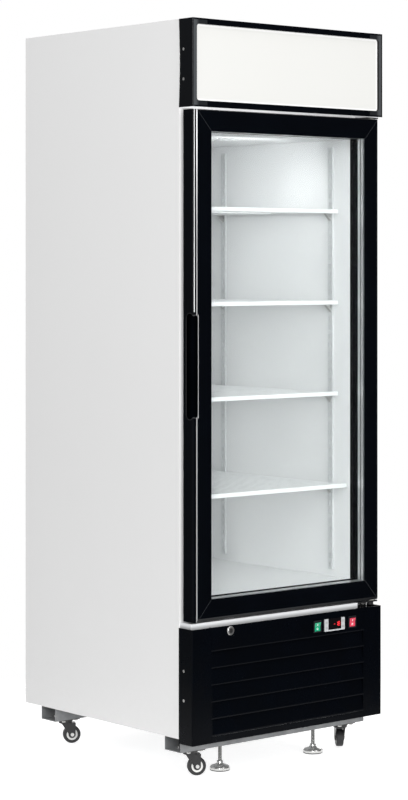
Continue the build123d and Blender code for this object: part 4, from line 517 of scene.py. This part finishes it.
class FREEZER_OT_door(Operator):
    """Gives the door its black frame, glass, spacer and bushes"""

    bl_idname = "freezer.door"
    bl_label = "Door Finishes"

    # Painted highlights, bright stripes in place of the lamps' reflection on the rounded front edges: sides
    # from the left edge, lowest and highest point, two heights and the share at each
    GROOVE_HIGHLIGHT_FADE = (1.45, 1.68, 0.42, 1.0)
    BAR_HIGHLIGHTS = (
        ((0.0, 0.0012), (0.4, 1.8), GROOVE_HIGHLIGHT_FADE),
        ((0.003, 0.005), (0.963, 1.235), (0.9, 1.3, 0.6, 0.6)),
    )
    HANDLE_HIGHLIGHTS = (
        ((0.0112, 0.014), (0.4, 1.8), GROOVE_HIGHLIGHT_FADE),
        ((0.003, 0.0056), (1.243, 1.8), (1.24, 1.5, 0.9, 0.75)),
    )
    # Depth of the front that takes the painted highlights, and their colour
    HIGHLIGHT_DEPTH = 0.0032
    HIGHLIGHT_TINT = (0.88, 0.89, 0.9)
    STILE_WIDTH, RAIL_WIDTH = 0.05, 0.056
    SEAM_SHARE = 0.016
    SEAM_TINT = (0.026, 0.028, 0.031)
    # The grip is a capsule-shaped hollow: its middle, half of its straight run, its radius and its rim's.
    GRIP_MIDDLE = (-0.3325, -0.351, 1.099)
    GRIP_RUN = 0.12662
    GRIP_RADIUS = 0.01639
    GRIP_RIM = 0.0172
    # Colour of the painted highlight along the grip's rim
    GRIP_HIGHLIGHT_TINT = (0.32, 0.33, 0.34)

    def execute(self, context):
        colours = context.scene.freezer_colours
        self.edged_black("door_frame_bars", colours.black, self.BAR_HIGHLIGHTS, specular=0.2, mitred=True)
        self.edged_black("door_handle", colours.black, self.HANDLE_HIGHLIGHTS, specular=0.08)
        self.glass(colours.glass)
        brushed("spacer_aluminium", (0.87, 0.88, 0.89), rough=(0.28, 0.4), spread=0.05,
                stretch=(1.0, 1.0, 30.0)).dress("glass_spacer")
        coated("gasket_rubber", (0.005, 0.005, 0.006), rough=(0.5, 0.65), spread=0.3, grain=1200.0,
               specular=0.08).dress("door_gasket")
        coated("bush_nylon", (0.55, 0.55, 0.5), rough=(0.4, 0.5)).dress("door_bushes")
        return {"FINISHED"}

    def edged_black(self, node, black, highlights, specular, mitred=False):
        """Gloss black with painted highlights along its front edges, a painted highlight on the rim round the
        grip and, if mitred, seams at the corners.

        A seam runs where the distances from side and end, in widths of stile and rail, are the same.
        """
        look = Finish(f"{node}_black")
        low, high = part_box(node)
        x, y, z = look.split(look.where)
        gloss = look.blend(black, shade(black, 0.7), 9.0, rough=(0.12, 0.18))
        if mitred:
            across, _, up = look.split(look.place((low + high) / 2))
            half = (high - low) / 2
            across = look.math("DIVIDE", look.margin(across, half.x), self.STILE_WIDTH)
            up = look.math("DIVIDE", look.margin(up, half.z), self.RAIL_WIDTH)
            gap = look.math("ABSOLUTE", look.math("SUBTRACT", across, up))
            look.paint(look.math("LESS_THAN", gap, self.SEAM_SHARE), self.SEAM_TINT)
        front = look.math("LESS_THAN", y, low.y + self.HIGHLIGHT_DEPTH)
        # Painted highlights along the rounded front edges
        for (left, right), ends, fade in highlights:
            look.paint(look.product(
                front,
                look.inside(x, low.x + left, low.x + right),
                look.inside(z, *ends),
                look.ramp(z, *fade),
            ), self.HIGHLIGHT_TINT)
        grip = look.split(look.place(self.GRIP_MIDDLE))
        past = look.math("SUBTRACT", look.math("ABSOLUTE", grip["Z"]), self.GRIP_RUN)
        past = look.math("MAXIMUM", past, 0.0)
        reach = look.radius(look.radius(grip["X"], grip["Y"]), past)
        # Painted highlight along the grip's rim, brightest on its right side and dimmer past the straight run
        look.paint(look.product(
            look.inside(reach, self.GRIP_RADIUS, self.GRIP_RIM),
            look.ramp(grip["X"], -0.008, 0.004, 0.24, 1.0),
            look.ramp(past, 0.0, 0.006, 1.0, 0.45),
        ), self.GRIP_HIGHLIGHT_TINT)
        hollow = look.math("LESS_THAN", reach, self.GRIP_RADIUS)
        look.set({
            "Metallic": hollow, "Roughness": look.math("MULTIPLY_ADD", hollow, 0.5, gloss),
            "Specular IOR Level": specular,
        })
        look.grain(380.0, 0.02)
        look.dress(node)

    @staticmethod
    def glass(tint):
        """Clear low-reflection pane with a faint tint and slight smears, which passes the lamps' light on."""
        look = Finish("door_glass_clear")
        look.blend(tint, shade(tint, 0.99), 5.0, rough=(0.0, 0.012))
        look.set({"Transmission Weight": 1.0, "IOR": 1.1})
        clear = look.add("ShaderNodeBsdfTransparent", {"Color": (0.985, 0.987, 0.986, 1.0)})
        shadow = look.add("ShaderNodeLightPath").outputs["Is Shadow Ray"]
        either = look.add(
            "ShaderNodeMixShader", {0: shadow, 1: look.shader.outputs["BSDF"], 2: clear.outputs["BSDF"]}
        )
        look.feed(look.tree.nodes["Material Output"], {"Surface": either.outputs[0]})
        look.dress("door_glass")


class FREEZER_OT_canopy(Operator):
    """Gives the canopy its black rails, grey front corners, lit sign and lamp"""

    bl_idname = "freezer.canopy"
    bl_label = "Canopy Finishes"

    # Black border of a cap's front, how far left the grey sits, and where the grey dims along the arms
    CAP_BORDER = (0.003, 0.006)
    CAP_SHIFT = 0.0015
    CAP_ARMS = (0.013, 0.023, 1.0, 0.22)
    # The pale underside, and the lamp's light through it painted on as a glow, stronger on the left than on
    # the right
    UNDER_SKIN = 0.00015
    UNDER_TINT = (0.7, 0.71, 0.72)
    SPILL_LEFT, SPILL_RIGHT = (0.68, 0.68, 0.69, 1.0), (0.34, 0.34, 0.35, 1.0)
    # Band along the sign's edge, and the glow: the middle's, and a brighter one painted on the band against
    # the shade there
    SIGN_RIM = (0.0125, 0.016)
    SIGN_GLOW, RIM_GLOW = (0.415, 0.415, 0.402, 1.0), (0.61, 0.61, 0.61, 1.0)

    def execute(self, context):
        colours = context.scene.freezer_colours
        self.two_tone("canopy_end_caps", colours, grey_front=True)
        self.two_tone("canopy_rails", colours, grey_front=False)
        self.sign()
        tube = Finish("lamp_tube")
        tube.blend((0.8, 0.8, 0.8), (0.7, 0.7, 0.7), 20.0)
        tube.set({"Emission Color": (1.0, 1.0, 0.97, 1.0), "Emission Strength": 2.0})
        tube.dress("canopy_lamp")
        return {"FINISHED"}

    def two_tone(self, node, colours, grey_front):
        """Gloss black with a pale underside that carries a painted glow of the lamp's light and, if asked, a
        grey front face.
        """
        look = Finish(node)
        low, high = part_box(node)
        x, y, z = look.split(look.where)
        look.blend(colours.black, shade(colours.black, 0.7), 9.0, rough=(0.12, 0.2))
        if grey_front:
            across, _, up = look.split(look.place((low + high) / 2))
            across = look.margin(look.math("ADD", across, self.CAP_SHIFT), high.x)
            up = look.margin(up, (high.z - low.z) / 2)
            look.paint(look.product(
                look.ramp(look.math("MINIMUM", across, up), *self.CAP_BORDER),
                look.ramp(across, *self.CAP_ARMS),
                look.math("LESS_THAN", y, low.y + FRONT_SKIN),
            ), colours.cap_front)
        under = look.math("LESS_THAN", z, low.z + self.UNDER_SKIN)
        look.paint(under, self.UNDER_TINT)
        # Painted glow on the underside, brighter on the left than on the right
        painted_glow = look.mix(look.ramp(x, -0.3, 0.3), self.SPILL_LEFT, self.SPILL_RIGHT)
        look.set({
            "Emission Color": look.mix(under, (0.0, 0.0, 0.0, 1.0), painted_glow), "Emission Strength": 1.0,
            "Specular IOR Level": 0.2,
        })
        look.grain(500.0, 0.03)
        look.dress(node)

    def sign(self):
        """Opal sheet lit from behind, with a brighter glow painted along its edge against the shade there."""
        low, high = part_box("sign_panel")
        half = (high - low) / 2
        look = Finish("sign_opal", (low + high) / 2)
        x, _, z = look.split(look.where)
        edge = look.math("MINIMUM", look.margin(x, half.x), look.margin(z, half.z))
        painted_edge_share = look.ramp(edge, *self.SIGN_RIM, 1.0, 0.0)
        look.blend((0.36, 0.36, 0.35), (0.355, 0.355, 0.345), 3.0, rough=(0.28, 0.31))
        look.set({
            "Emission Color": look.mix(painted_edge_share, self.SIGN_GLOW, self.RIM_GLOW), "Emission Strength": 1.0,
            "Specular IOR Level": 0.25,
        })
        look.dress("sign_panel")


class FREEZER_OT_room(Operator):
    """Gives liner, pilasters, shelves, clips and evaporator their finishes"""

    bl_idname = "freezer.room"
    bl_label = "Room Finishes"

    def execute(self, context):
        colours = context.scene.freezer_colours
        coated("liner_white", colours.liner, rough=(0.28, 0.38), spread=0.03, patch=3.0, grain=260.0,
               relief=0.06).dress("inner_liner", "evaporator_cover")
        coated("pilaster_steel", (0.7, 0.71, 0.72), rough=(0.3, 0.4), spread=0.08,
               metal=0.3).dress("pilasters")
        coated("shelf_coating", colours.wire, rough=(0.24, 0.34), spread=0.04, patch=40.0, grain=900.0,
               relief=0.08, coat=0.2).dress(*[f"shelf_{number}" for number in range(1, 5)])
        brushed("clip_zinc", colours.zinc, rough=(0.3, 0.45)).dress("shelf_clips")
        finned("evaporator_coil")
        coated("fan_grey", (0.06, 0.06, 0.065), rough=(0.35, 0.5)).dress("evaporator_fan", "condenser_fan")
        return {"FINISHED"}


class FREEZER_OT_controls(Operator):
    """Gives kick panel, lock, switches and controller their finishes"""

    bl_idname = "freezer.controls"
    bl_label = "Control Finishes"

    # Louvres of the kick panel, up from its lower edge
    LOUVRE_START = 0.018
    LOUVRE_PITCH = 0.045
    LOUVRE_SPAN = (0.017, 0.25)
    # Share of each pitch that is lip, and the colour of the painted highlight on it
    LIP_SHARE = 0.055
    LIP_HIGHLIGHT_TINT = (0.0065, 0.007, 0.0085)
    # Bar and ring on a rocker, from its middle
    BAR_HALF = 0.0009
    BAR_SPAN = (0.0026, 0.0082)
    RING_DROP = 0.0055
    RING_SPAN = (0.0018, 0.0032)
    MARK_TINT = (0.75, 0.78, 0.76)
    # Screen of the controller: half its width, and its lower edge above the case's
    SCREEN_HALF = 0.0245
    SCREEN_SILL = 0.0035
    SCREEN_TINT = (0.004, 0.003, 0.004)

    def execute(self, context):
        colours = context.scene.freezer_colours
        self.kick("kick_pillars", colours.black, louvred=False)
        self.kick("kick_grille", colours.black, louvred=True)
        coated("bezel_black", (0.02, 0.021, 0.023), rough=(0.25, 0.35), spread=0.3, patch=60.0,
               specular=0.2).dress("switch_bezels")
        brushed("lock_chrome", (0.7, 0.7, 0.7), rough=(0.3, 0.42), spread=0.3).dress("lock_barrel")
        brushed("plug_nickel", (0.3, 0.3, 0.3), rough=(0.25, 0.4), spread=0.3).dress("lock_plug")
        self.rocker("green_rocker", colours.green)
        self.rocker("red_rocker", colours.red)
        self.controller(colours.bezel)
        buttons = coated("button_grey", shade(colours.bezel, 0.75), rough=(0.4, 0.5), grain=1500.0)
        buttons.dress(*[f"controller_button_{number}" for number in range(1, 5)])
        return {"FINISHED"}

    def kick(self, node, black, louvred):
        """Black enamel; on the louvres the lips carry a faint painted highlight."""
        look = Finish(f"{node}_black")
        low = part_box(node)[0]
        look.blend(black, shade(black, 0.6), 12.0, rough=(0.24, 0.34))
        if louvred:
            _, y, z = look.split(look.where)
            rise = look.math("SUBTRACT", z, low.z)
            step = look.math("SUBTRACT", rise, self.LOUVRE_START)
            step = look.math("FRACT", look.math("DIVIDE", step, self.LOUVRE_PITCH))
            # Painted highlight on the lips of the louvres
            look.paint(look.product(
                look.math("LESS_THAN", step, self.LIP_SHARE),
                look.inside(rise, *self.LOUVRE_SPAN),
                look.math("LESS_THAN", y, low.y + FRONT_SKIN),
            ), self.LIP_HIGHLIGHT_TINT)
        look.set({"Specular IOR Level": 0.06})
        look.grain(500.0, 0.03)
        look.dress(node)

    def rocker(self, node, tint):
        """Clear coloured lens with a pale bar and ring moulded in it."""
        low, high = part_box(node)
        look = Finish(f"{node}_lens", (low + high) / 2)
        x, _, z = look.split(look.where)
        across = look.inside(x, -self.BAR_HALF, self.BAR_HALF)
        bar = look.product(across, look.inside(z, *self.BAR_SPAN))
        drop = look.math("ADD", z, self.RING_DROP)
        ring = look.inside(look.radius(x, drop), *self.RING_SPAN)
        look.blend(tint, shade(tint, 0.75), 160.0, rough=(0.12, 0.2))
        look.paint(look.math("MAXIMUM", bar, ring), self.MARK_TINT)
        look.set({"Emission Color": look.base, "Emission Strength": 0.18, "Coat Weight": 0.6})
        look.dress(node)

    def controller(self, tint):
        """Light grey bezel round a dark glossy screen."""
        low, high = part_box("controller")
        look = Finish("controller_case", (low + high) / 2)
        x, _, z = look.split(look.where)
        sill = self.SCREEN_SILL - (high.z - low.z) / 2
        across = look.inside(x, -self.SCREEN_HALF, self.SCREEN_HALF)
        screen = look.product(across, look.math("GREATER_THAN", z, sill))
        look.blend(tint, shade(tint, 0.9), 40.0)
        look.paint(screen, self.SCREEN_TINT)
        look.set({"Roughness": look.ramp(screen, 0.0, 1.0, 0.42, 0.12)})
        look.grain(1500.0, 0.06, distance=0.0003)
        look.dress("controller")


class FREEZER_OT_machine(Operator):
    """Gives compressor, condenser and pipes their finishes"""

    bl_idname = "freezer.machine"
    bl_label = "Machine Finishes"

    def execute(self, context):
        coated("compressor_enamel", (0.008, 0.008, 0.009), rough=(0.25, 0.4), dust=0.3).dress("compressor")
        finned("condenser_coil")
        coated("pipe_copper", (0.55, 0.24, 0.13), rough=(0.25, 0.4), spread=0.3, patch=30.0,
               metal=1.0).dress("pipework")
        return {"FINISHED"}


class FREEZER_OT_running_gear(Operator):
    """Gives castors, feet, brackets and screws their finishes"""

    bl_idname = "freezer.running_gear"
    bl_label = "Running Gear Finishes"

    PIN_RADIUS = 0.0051
    HUB_RIM = (0.0105, 0.01602)
    RIM_TINT = (0.74, 0.74, 0.72)
    AXLE_HEAD_RADIUS = 0.0055
    AXLE_HEAD_START = 0.01335

    def execute(self, context):
        zinc = context.scene.freezer_colours.zinc
        plated = brushed("zinc_plate", zinc, rough=(0.24, 0.4), spread=0.15)
        plated.dress("fasteners", "levelling_foot_left", "levelling_foot_right")
        self.hinges(zinc)
        coated("castor_black", (0.006, 0.006, 0.007), rough=(0.25, 0.4), spread=0.3, patch=60.0, grain=900.0,
               dust=0.25, dust_level=0.12).dress("castor_plates")
        for corner in CORNERS:
            self.fork(corner, zinc)
            self.wheel(corner)
        return {"FINISHED"}

    def hinges(self, zinc):
        """Blackened plates with a bare pin on the hinge axis."""
        pivot = JOINTS["door_swing"]["pos_m"]
        look = Finish("hinge_plate", (pivot[0], pivot[1], 0.0))
        x, y, _ = look.split(look.where)
        pin = look.math("LESS_THAN", look.radius(x, y), self.PIN_RADIUS)
        look.blend((0.016, 0.016, 0.017), (0.008, 0.008, 0.009), 60.0, rough=(0.36, 0.52))
        look.paint(pin, zinc)
        look.set({"Metallic": pin})
        look.dress("hinge_brackets")

    @staticmethod
    def axle_place(look, corner):
        """Distance from a wheel's axle, and place along it."""
        joint = JOINTS[f"wheel_{corner}_roll"]
        axis = joint["axis"]
        turn = math.atan2(-axis[0], axis[1])
        x, y, z = look.split(look.place(joint["pos_m"], rotation=(0.0, 0.0, turn)))
        return look.radius(x, z), y

    def wheel(self, corner):
        """Black tyre, white hub rim and dark hub."""
        look = Finish(f"castor_wheel_{corner}")
        radius, _ = self.axle_place(look, corner)
        look.blend((0.008, 0.008, 0.009), (0.018, 0.018, 0.019), 90.0, rough=(0.4, 0.6))
        look.paint(look.inside(radius, *self.HUB_RIM), self.RIM_TINT)
        look.grain(1400.0, 0.15, distance=0.0003)
        look.dress(f"castor_wheel_{corner}")

    def fork(self, corner, zinc):
        """Black fork with bright heads on its axle."""
        look = Finish(f"castor_fork_{corner}")
        radius, along = self.axle_place(look, corner)
        head = look.product(
            look.math("LESS_THAN", radius, self.AXLE_HEAD_RADIUS),
            look.math("GREATER_THAN", look.math("ABSOLUTE", along), self.AXLE_HEAD_START),
        )
        look.blend((0.006, 0.006, 0.007), (0.012, 0.012, 0.013), 60.0, rough=(0.25, 0.4))
        look.paint(head, zinc)
        look.set({"Metallic": head})
        look.grain(900.0, 0.1, distance=0.0003)
        look.dress(f"castor_fork_{corner}")


# Added detail

class FREEZER_OT_feet(Operator):
    """Adds the levelling feet with rounded pads, a rubber sole and a cut thread"""

    bl_idname = "freezer.feet"
    bl_label = "Levelling Feet"

    COLUMNS = 48
    THREAD_ROWS = 300
    THREAD_PITCH = 0.00175
    THREAD_DEPTH = 0.001
    STEM_RADIUS = 0.0055
    STEM_FOOT = 0.0255
    STEM_CHAMFER = 0.001
    SOLE_TOP = 0.0026
    PAD_TOP = 0.0252
    SOLE_TINT = (0.012, 0.012, 0.013)

    def execute(self, context):
        material = self.plated(context.scene.freezer_colours.zinc)
        for side in ("left", "right"):
            low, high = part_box(f"levelling_foot_{side}")
            radius, height = self.profile((high.x - low.x) / 2, high.z - low.z)
            centre = ((low.x + high.x) / 2, (low.y + high.y) / 2, low.z)
            points, faces = turned(radius, height, centre)
            piece = add_mesh(f"foot_{side}_turned", points, faces, material)
            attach(piece, f"foot_{side}")
            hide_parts(f"levelling_foot_{side}")
        return {"FINISHED"}

    def profile(self, pad, tall):
        """Radius and height over rows and columns.

        The pad follows a rounded profile; on the stem the radius falls by a triangle wave of the height in
        pitches less the share of a turn, which cuts a single-start thread.
        """
        shape = np.array([
            [0.004, 0.0], [pad - 0.0016, 0.0], [pad - 0.0008, 0.0004], [pad - 0.0008, 0.0022], [pad, 0.003],
            [pad, 0.008], [pad - 0.0004, 0.009], [pad - 0.002, 0.0112], [pad - 0.0048, 0.0128],
            [0.017, 0.0149], [0.013, 0.016], [0.0106, 0.0175], [0.0092, 0.0193], [0.0089, 0.0205],
            [0.0089, 0.0244], [0.0083, 0.025], [0.0056, 0.025],
        ])
        level = np.linspace(self.STEM_FOOT, tall - self.STEM_CHAMFER, self.THREAD_ROWS)
        turn = np.linspace(0, 1, self.COLUMNS, endpoint=False)
        wave = np.abs(2 * np.mod(level[:, None] / self.THREAD_PITCH - turn[None, :], 1.0) - 1.0)
        stem = self.STEM_RADIUS - self.THREAD_DEPTH * wave
        tip = np.array([[0.0046, tall - 0.0004], [0.0036, tall]])
        whole_turn = np.zeros(self.COLUMNS)
        radius = np.concatenate([shape[:, :1] + whole_turn, stem, tip[:, :1] + whole_turn])
        height = np.concatenate([shape[:, 1], level, tip[:, 1]])
        return radius, height[:, None] + whole_turn

    def plated(self, zinc):
        """Plated steel on a black rubber sole, with the stem above the pad darker."""
        look = Finish("foot_plated")
        height = look.split(look.where)["Z"]
        gloss = look.blend(shade(zinc, 1.15), zinc, 70.0, rough=(0.18, 0.3))
        sole = look.math("LESS_THAN", height, self.SOLE_TOP)
        look.paint(look.math("GREATER_THAN", height, self.PAD_TOP), shade(zinc, 0.62))
        look.paint(sole, self.SOLE_TINT)
        look.set({
            "Metallic": look.math("MULTIPLY", look.math("SUBTRACT", 1.0, sole), 0.85),
            "Roughness": look.math("MULTIPLY_ADD", sole, 0.4, gloss),
        })
        return look.material


class FREEZER_OT_gasket(Operator):
    """Adds the folded door seal in place of its plain strips"""

    bl_idname = "freezer.gasket"
    bl_label = "Door Seal"

    def execute(self, context):
        low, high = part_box("door_gasket")
        deep = high.y - low.y
        # Section as (inward from the outer edge, back from the door): base, two bellows folds and a flat lip.
        section = np.array([
            [0.003, 0.0], [0.019, 0.0], [0.019, 0.0012], [0.013, 0.0016], [0.0165, 0.0034],
            [0.013, 0.005], [0.02, 0.0056], [0.022, 0.0072], [0.0215, deep], [0.0008, deep],
            [0.0, 0.0072], [0.0024, 0.0056], [0.0085, 0.005], [0.0055, 0.0034], [0.0085, 0.0016],
            [0.003, 0.0012],
        ])
        # Each corner of the door's rectangle carries the section along its mitre.
        corner = np.array([[low.x, low.z], [high.x, low.z], [high.x, high.z], [low.x, high.z]])
        inward = np.array([[1, 1], [-1, 1], [-1, -1], [1, -1]])
        flat = corner[:, None, :] + inward[:, None, :] * section[None, :, :1]
        depth = np.broadcast_to(low.y + section[None, :, 1:], flat.shape[:2] + (1,))
        points = np.concatenate([flat[..., :1], depth, flat[..., 1:]], axis=-1)
        # The grid's quads face into the seal, so their corners are turned round.
        quads = grid_faces(4, len(section), close_rows=True, close_columns=True)[:, ::-1]
        rubber = NODES["door_gasket"].data.materials[0]
        piece = add_mesh("door_seal", points, [quads], rubber, smooth=False)
        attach(piece, "door")
        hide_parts("door_gasket")
        return {"FINISHED"}


class FREEZER_OT_digits(Operator):
    """Adds the lit figures on the controller's screen"""

    bl_idname = "freezer.digits"
    bl_label = "Display Figures"

    TEXT = "-18"
    FIGURES = {"-": (6,), "1": (1, 2), "8": (0, 1, 2, 3, 4, 5, 6)}
    # Ends of the seven segments, in widths and heights of a figure
    SEGMENTS = np.array([
        [[0, 1], [1, 1]], [[1, 1], [1, 0.5]], [[1, 0.5], [1, 0]], [[0, 0], [1, 0]],
        [[0, 0.5], [0, 0]], [[0, 1], [0, 0.5]], [[0, 0.5], [1, 0.5]],
    ])
    WIDTH, HEIGHT, PITCH = 0.0058, 0.011, 0.0084
    SHIFT, RISE = -0.0035, 0.001
    HALF_STROKE, GAP = 0.00075, 0.0004
    DEPTH, SUNK = 0.0003, 0.0001

    def execute(self, context):
        low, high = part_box("controller")
        middle = (low + high) / 2
        rows = []
        for place, figure in enumerate(self.TEXT):
            chosen = self.SEGMENTS[list(self.FIGURES[figure])] * np.array([self.WIDTH, self.HEIGHT])
            left = middle.x + self.SHIFT + place * self.PITCH
            rows.append(chosen + np.array([left, middle.z - self.HEIGHT / 2 + self.RISE]))
        points, quads = self.plates(np.concatenate(rows), low.y + self.SUNK)
        material = self.glowing(context.scene.freezer_colours.digits)
        piece = add_mesh("display_figures", points, [quads], material, smooth=False)
        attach(piece, "cabinet")
        return {"FINISHED"}

    def plates(self, bars, front):
        """Points and quads of thin plates, one along each bar.

        A plate's outline is a hexagon, pointed at both ends of the bar and half a stroke to either side; its
        front and back are joined by six sides.
        """
        along = bars[:, 1] - bars[:, 0]
        along = along / np.linalg.norm(along, axis=1, keepdims=True)
        start, end = bars[:, 0] + along * self.GAP, bars[:, 1] - along * self.GAP
        side = np.stack([-along[:, 1], along[:, 0]], axis=1) * self.HALF_STROKE
        slope = along * self.HALF_STROKE
        outline = np.stack([
            start, start + slope - side, end - slope - side, end, end - slope + side, start + slope + side,
        ], axis=1)
        face = np.stack([outline[..., 0], np.full(outline.shape[:2], front), outline[..., 1]], axis=-1)
        points = np.concatenate([face, face + np.array([0.0, self.DEPTH, 0.0])], axis=1)
        near = np.array([[0, 1, 2, 3], [3, 4, 5, 0]])
        step = np.arange(6)
        after = (step + 1) % 6
        sides = np.stack([step, step + 6, after + 6, after], axis=1)
        pattern = np.concatenate([near, near[:, ::-1] + 6, sides])
        first = np.arange(len(bars))[:, None, None] * 12
        return points, (first + pattern[None]).reshape(-1, 4)

    @staticmethod
    def glowing(tint):
        """Glowing red with slight patches."""
        look = Finish("digit_red")
        glow = look.effect("Mottle", {
            "Scale": 300.0, "First": rgba(tint), "Second": rgba(shade(tint, 0.85)),
        })["Color"]
        look.set({"Base Color": glow, "Emission Color": glow, "Emission Strength": 0.7})
        return look.material


# Stage

class FREEZER_OT_stage(Operator):
    """Adds camera, soft lights, white surroundings and a pale floor"""

    bl_idname = "freezer.stage"
    bl_label = "Stage"

    # Soft lights: name, place, target, power, width, height, and whether gloss reflects them
    LAMPS = (
        ("key_strip", (-3.7, -4.0, 2.3), (0, 0, 1.2), 135.0, 0.7, 2.4, True),
        ("left_softbox", (-4.8, 0.6, 2.6), (0, 0, 1.3), 30.0, 2.6, 2.6, True),
        ("top_softbox", (0.0, -0.6, 5.0), (0, 0, 1.0), 40.0, 2.6, 2.6, True),
        ("front_softbox", (0.6, -4.2, 5.2), (0, 0, 0.9), 90.0, 2.0, 2.0, True),
        ("right_softbox", (4.8, 1.0, 2.4), (0, 0, 1.0), 96.0, 4.2, 4.2, True),
        ("back_softbox", (1.0, 5.0, 2.4), (0, 0, 1.0), 120.0, 4.4, 4.4, True),
        ("room_top", (0.02, -0.22, 1.67), (0.02, 0.315, 1.45), 0.7, 0.26, 0.05, False),
        ("room_fill", (-0.9, -6.0, 1.25), (0, 0, 1.15), 140.0, 1.6, 1.6, False),
    )
    # Headings in which the surroundings grow light, and in which they show white in gloss and glass
    SOFT_SIDE = (-0.8, -0.5, 0.33)
    WHITE_SIDE = (0.647, 0.762, 0.0)
    WHITE = (1.0, 1.0, 1.0, 1.0)
    FLOOR_RINGS, FLOOR_COLUMNS = 12, 96
    FLOOR_CORE = 0.05
    FLOOR_LEVEL = -0.0005
    FLOOR_GLOW = 0.72

    def execute(self, context):
        sizes = context.scene.freezer_sizes
        self.camera(context.scene, sizes)
        for lamp in self.LAMPS:
            self.light(context.scene, *lamp)
        self.surroundings(context.scene)
        self.floor(sizes.floor_radius)
        context.scene.view_settings.view_transform = "Standard"
        return {"FINISHED"}

    @staticmethod
    def camera(scene, sizes):
        """The photograph's viewpoint."""
        data = bpy.data.cameras.new("view")
        data.sensor_width = 36.0
        data.lens = sizes.lens
        data.shift_y = sizes.shift
        data.clip_end = 60.0
        camera = bpy.data.objects.new("view", data)
        camera.location = (sizes.camera_x, sizes.camera_y, sizes.camera_z)
        camera.rotation_euler = (math.pi / 2, 0.0, sizes.camera_turn)
        scene.collection.objects.link(camera)
        scene.camera = camera

    @staticmethod
    def light(scene, name, place, target, power, wide, tall, reflected):
        """One soft light that faces its target; neither the camera nor the panes show it."""
        data = bpy.data.lights.new(name, "AREA")
        data.energy = power
        data.shape = "RECTANGLE"
        data.size, data.size_y = wide, tall
        light = bpy.data.objects.new(name, data)
        light.location = place
        light.rotation_euler = (Vector(target) - Vector(place)).to_track_quat("-Z", "Y").to_euler()
        light.visible_camera = light.visible_transmission = False
        light.visible_glossy = reflected
        scene.collection.objects.link(light)

    def surroundings(self, scene):
        """White behind the object; soft light from the front left and above, dark to the front right."""
        scene.world = bpy.data.worlds.new("studio")
        scene.world.use_nodes = True
        graph = Graph(scene.world.node_tree)
        heading = graph.add("ShaderNodeTexCoord").outputs["Generated"]
        tone = graph.ramp(graph.dot(heading, self.SOFT_SIDE), -0.1, 0.95, 0.04, 0.85)
        path = graph.add("ShaderNodeLightPath").outputs
        bounced = graph.math("MAXIMUM", path["Is Glossy Ray"], path["Is Transmission Ray"])
        bounced = graph.product(bounced, graph.ramp(graph.dot(heading, self.WHITE_SIDE), 0.35, 0.65))
        seen = graph.math("MAXIMUM", path["Is Camera Ray"], bounced)
        strength = graph.math("MAXIMUM", tone, seen)
        graph.feed(graph.tree.nodes["Background"], {"Color": self.WHITE, "Strength": strength})

    def floor(self, radius):
        """A pale disc of shrinking rings that keeps the object's shadow and fades out at its edge."""
        look = Finish("floor_pale")
        x, y, _ = look.split(look.where)
        look.blend((0.62, 0.62, 0.62), (0.61, 0.61, 0.61), 3.0, rough=(0.7, 0.8))
        path = look.add("ShaderNodeLightPath").outputs
        seen = look.math("MAXIMUM", path["Is Camera Ray"], path["Is Glossy Ray"])
        seen = look.math("MAXIMUM", seen, path["Is Transmission Ray"])
        look.set({
            "Emission Color": self.WHITE, "Emission Strength": look.math("MULTIPLY", seen, self.FLOOR_GLOW),
            "Alpha": look.ramp(look.radius(x, y), radius * 0.6, radius, 1.0, 0.0),
        })
        rings = np.linspace(radius, self.FLOOR_CORE, self.FLOOR_RINGS)
        reach = np.repeat(rings[:, None], self.FLOOR_COLUMNS, axis=1)
        points, faces = turned(reach, np.zeros_like(reach), (0.0, 0.0, self.FLOOR_LEVEL), close_low=False)
        disc = add_mesh("floor", points, faces, look.material)


class FREEZER_PT_sidebar(Panel):
    """Lists the steps"""

    bl_idname = "FREEZER_PT_sidebar"
    bl_label = "Display Freezer"
    bl_space_type = "VIEW_3D"
    bl_region_type = "UI"
    bl_category = "Freezer"

    def draw(self, context):
        for step in STEPS:
            self.layout.operator(step.bl_idname)
        for group in (context.scene.freezer_colours, context.scene.freezer_sizes):
            for key in group.__annotations__:
                self.layout.prop(group, key)


STEPS = (
    FREEZER_OT_cabinet, FREEZER_OT_door, FREEZER_OT_canopy, FREEZER_OT_room, FREEZER_OT_controls,
    FREEZER_OT_machine, FREEZER_OT_running_gear, FREEZER_OT_feet, FREEZER_OT_gasket, FREEZER_OT_digits,
    FREEZER_OT_stage,
)
CLASSES = (FreezerColours, FreezerSizes, *STEPS, FREEZER_PT_sidebar)


def register():
    """Adds the classes and the scene's settings."""
    for item in CLASSES:
        bpy.utils.register_class(item)
    bpy.types.Scene.freezer_colours = PointerProperty(type=FreezerColours)
    bpy.types.Scene.freezer_sizes = PointerProperty(type=FreezerSizes)


def unregister():
    """Takes them away again."""
    del bpy.types.Scene.freezer_sizes
    del bpy.types.Scene.freezer_colours
    for item in reversed(CLASSES):
        bpy.utils.unregister_class(item)


def main():
    """Runs the steps in order."""
    register()
    for step in STEPS:
        getattr(bpy.ops.freezer, step.bl_idname.split(".")[1])()


if __name__ == "__main__":
    main()
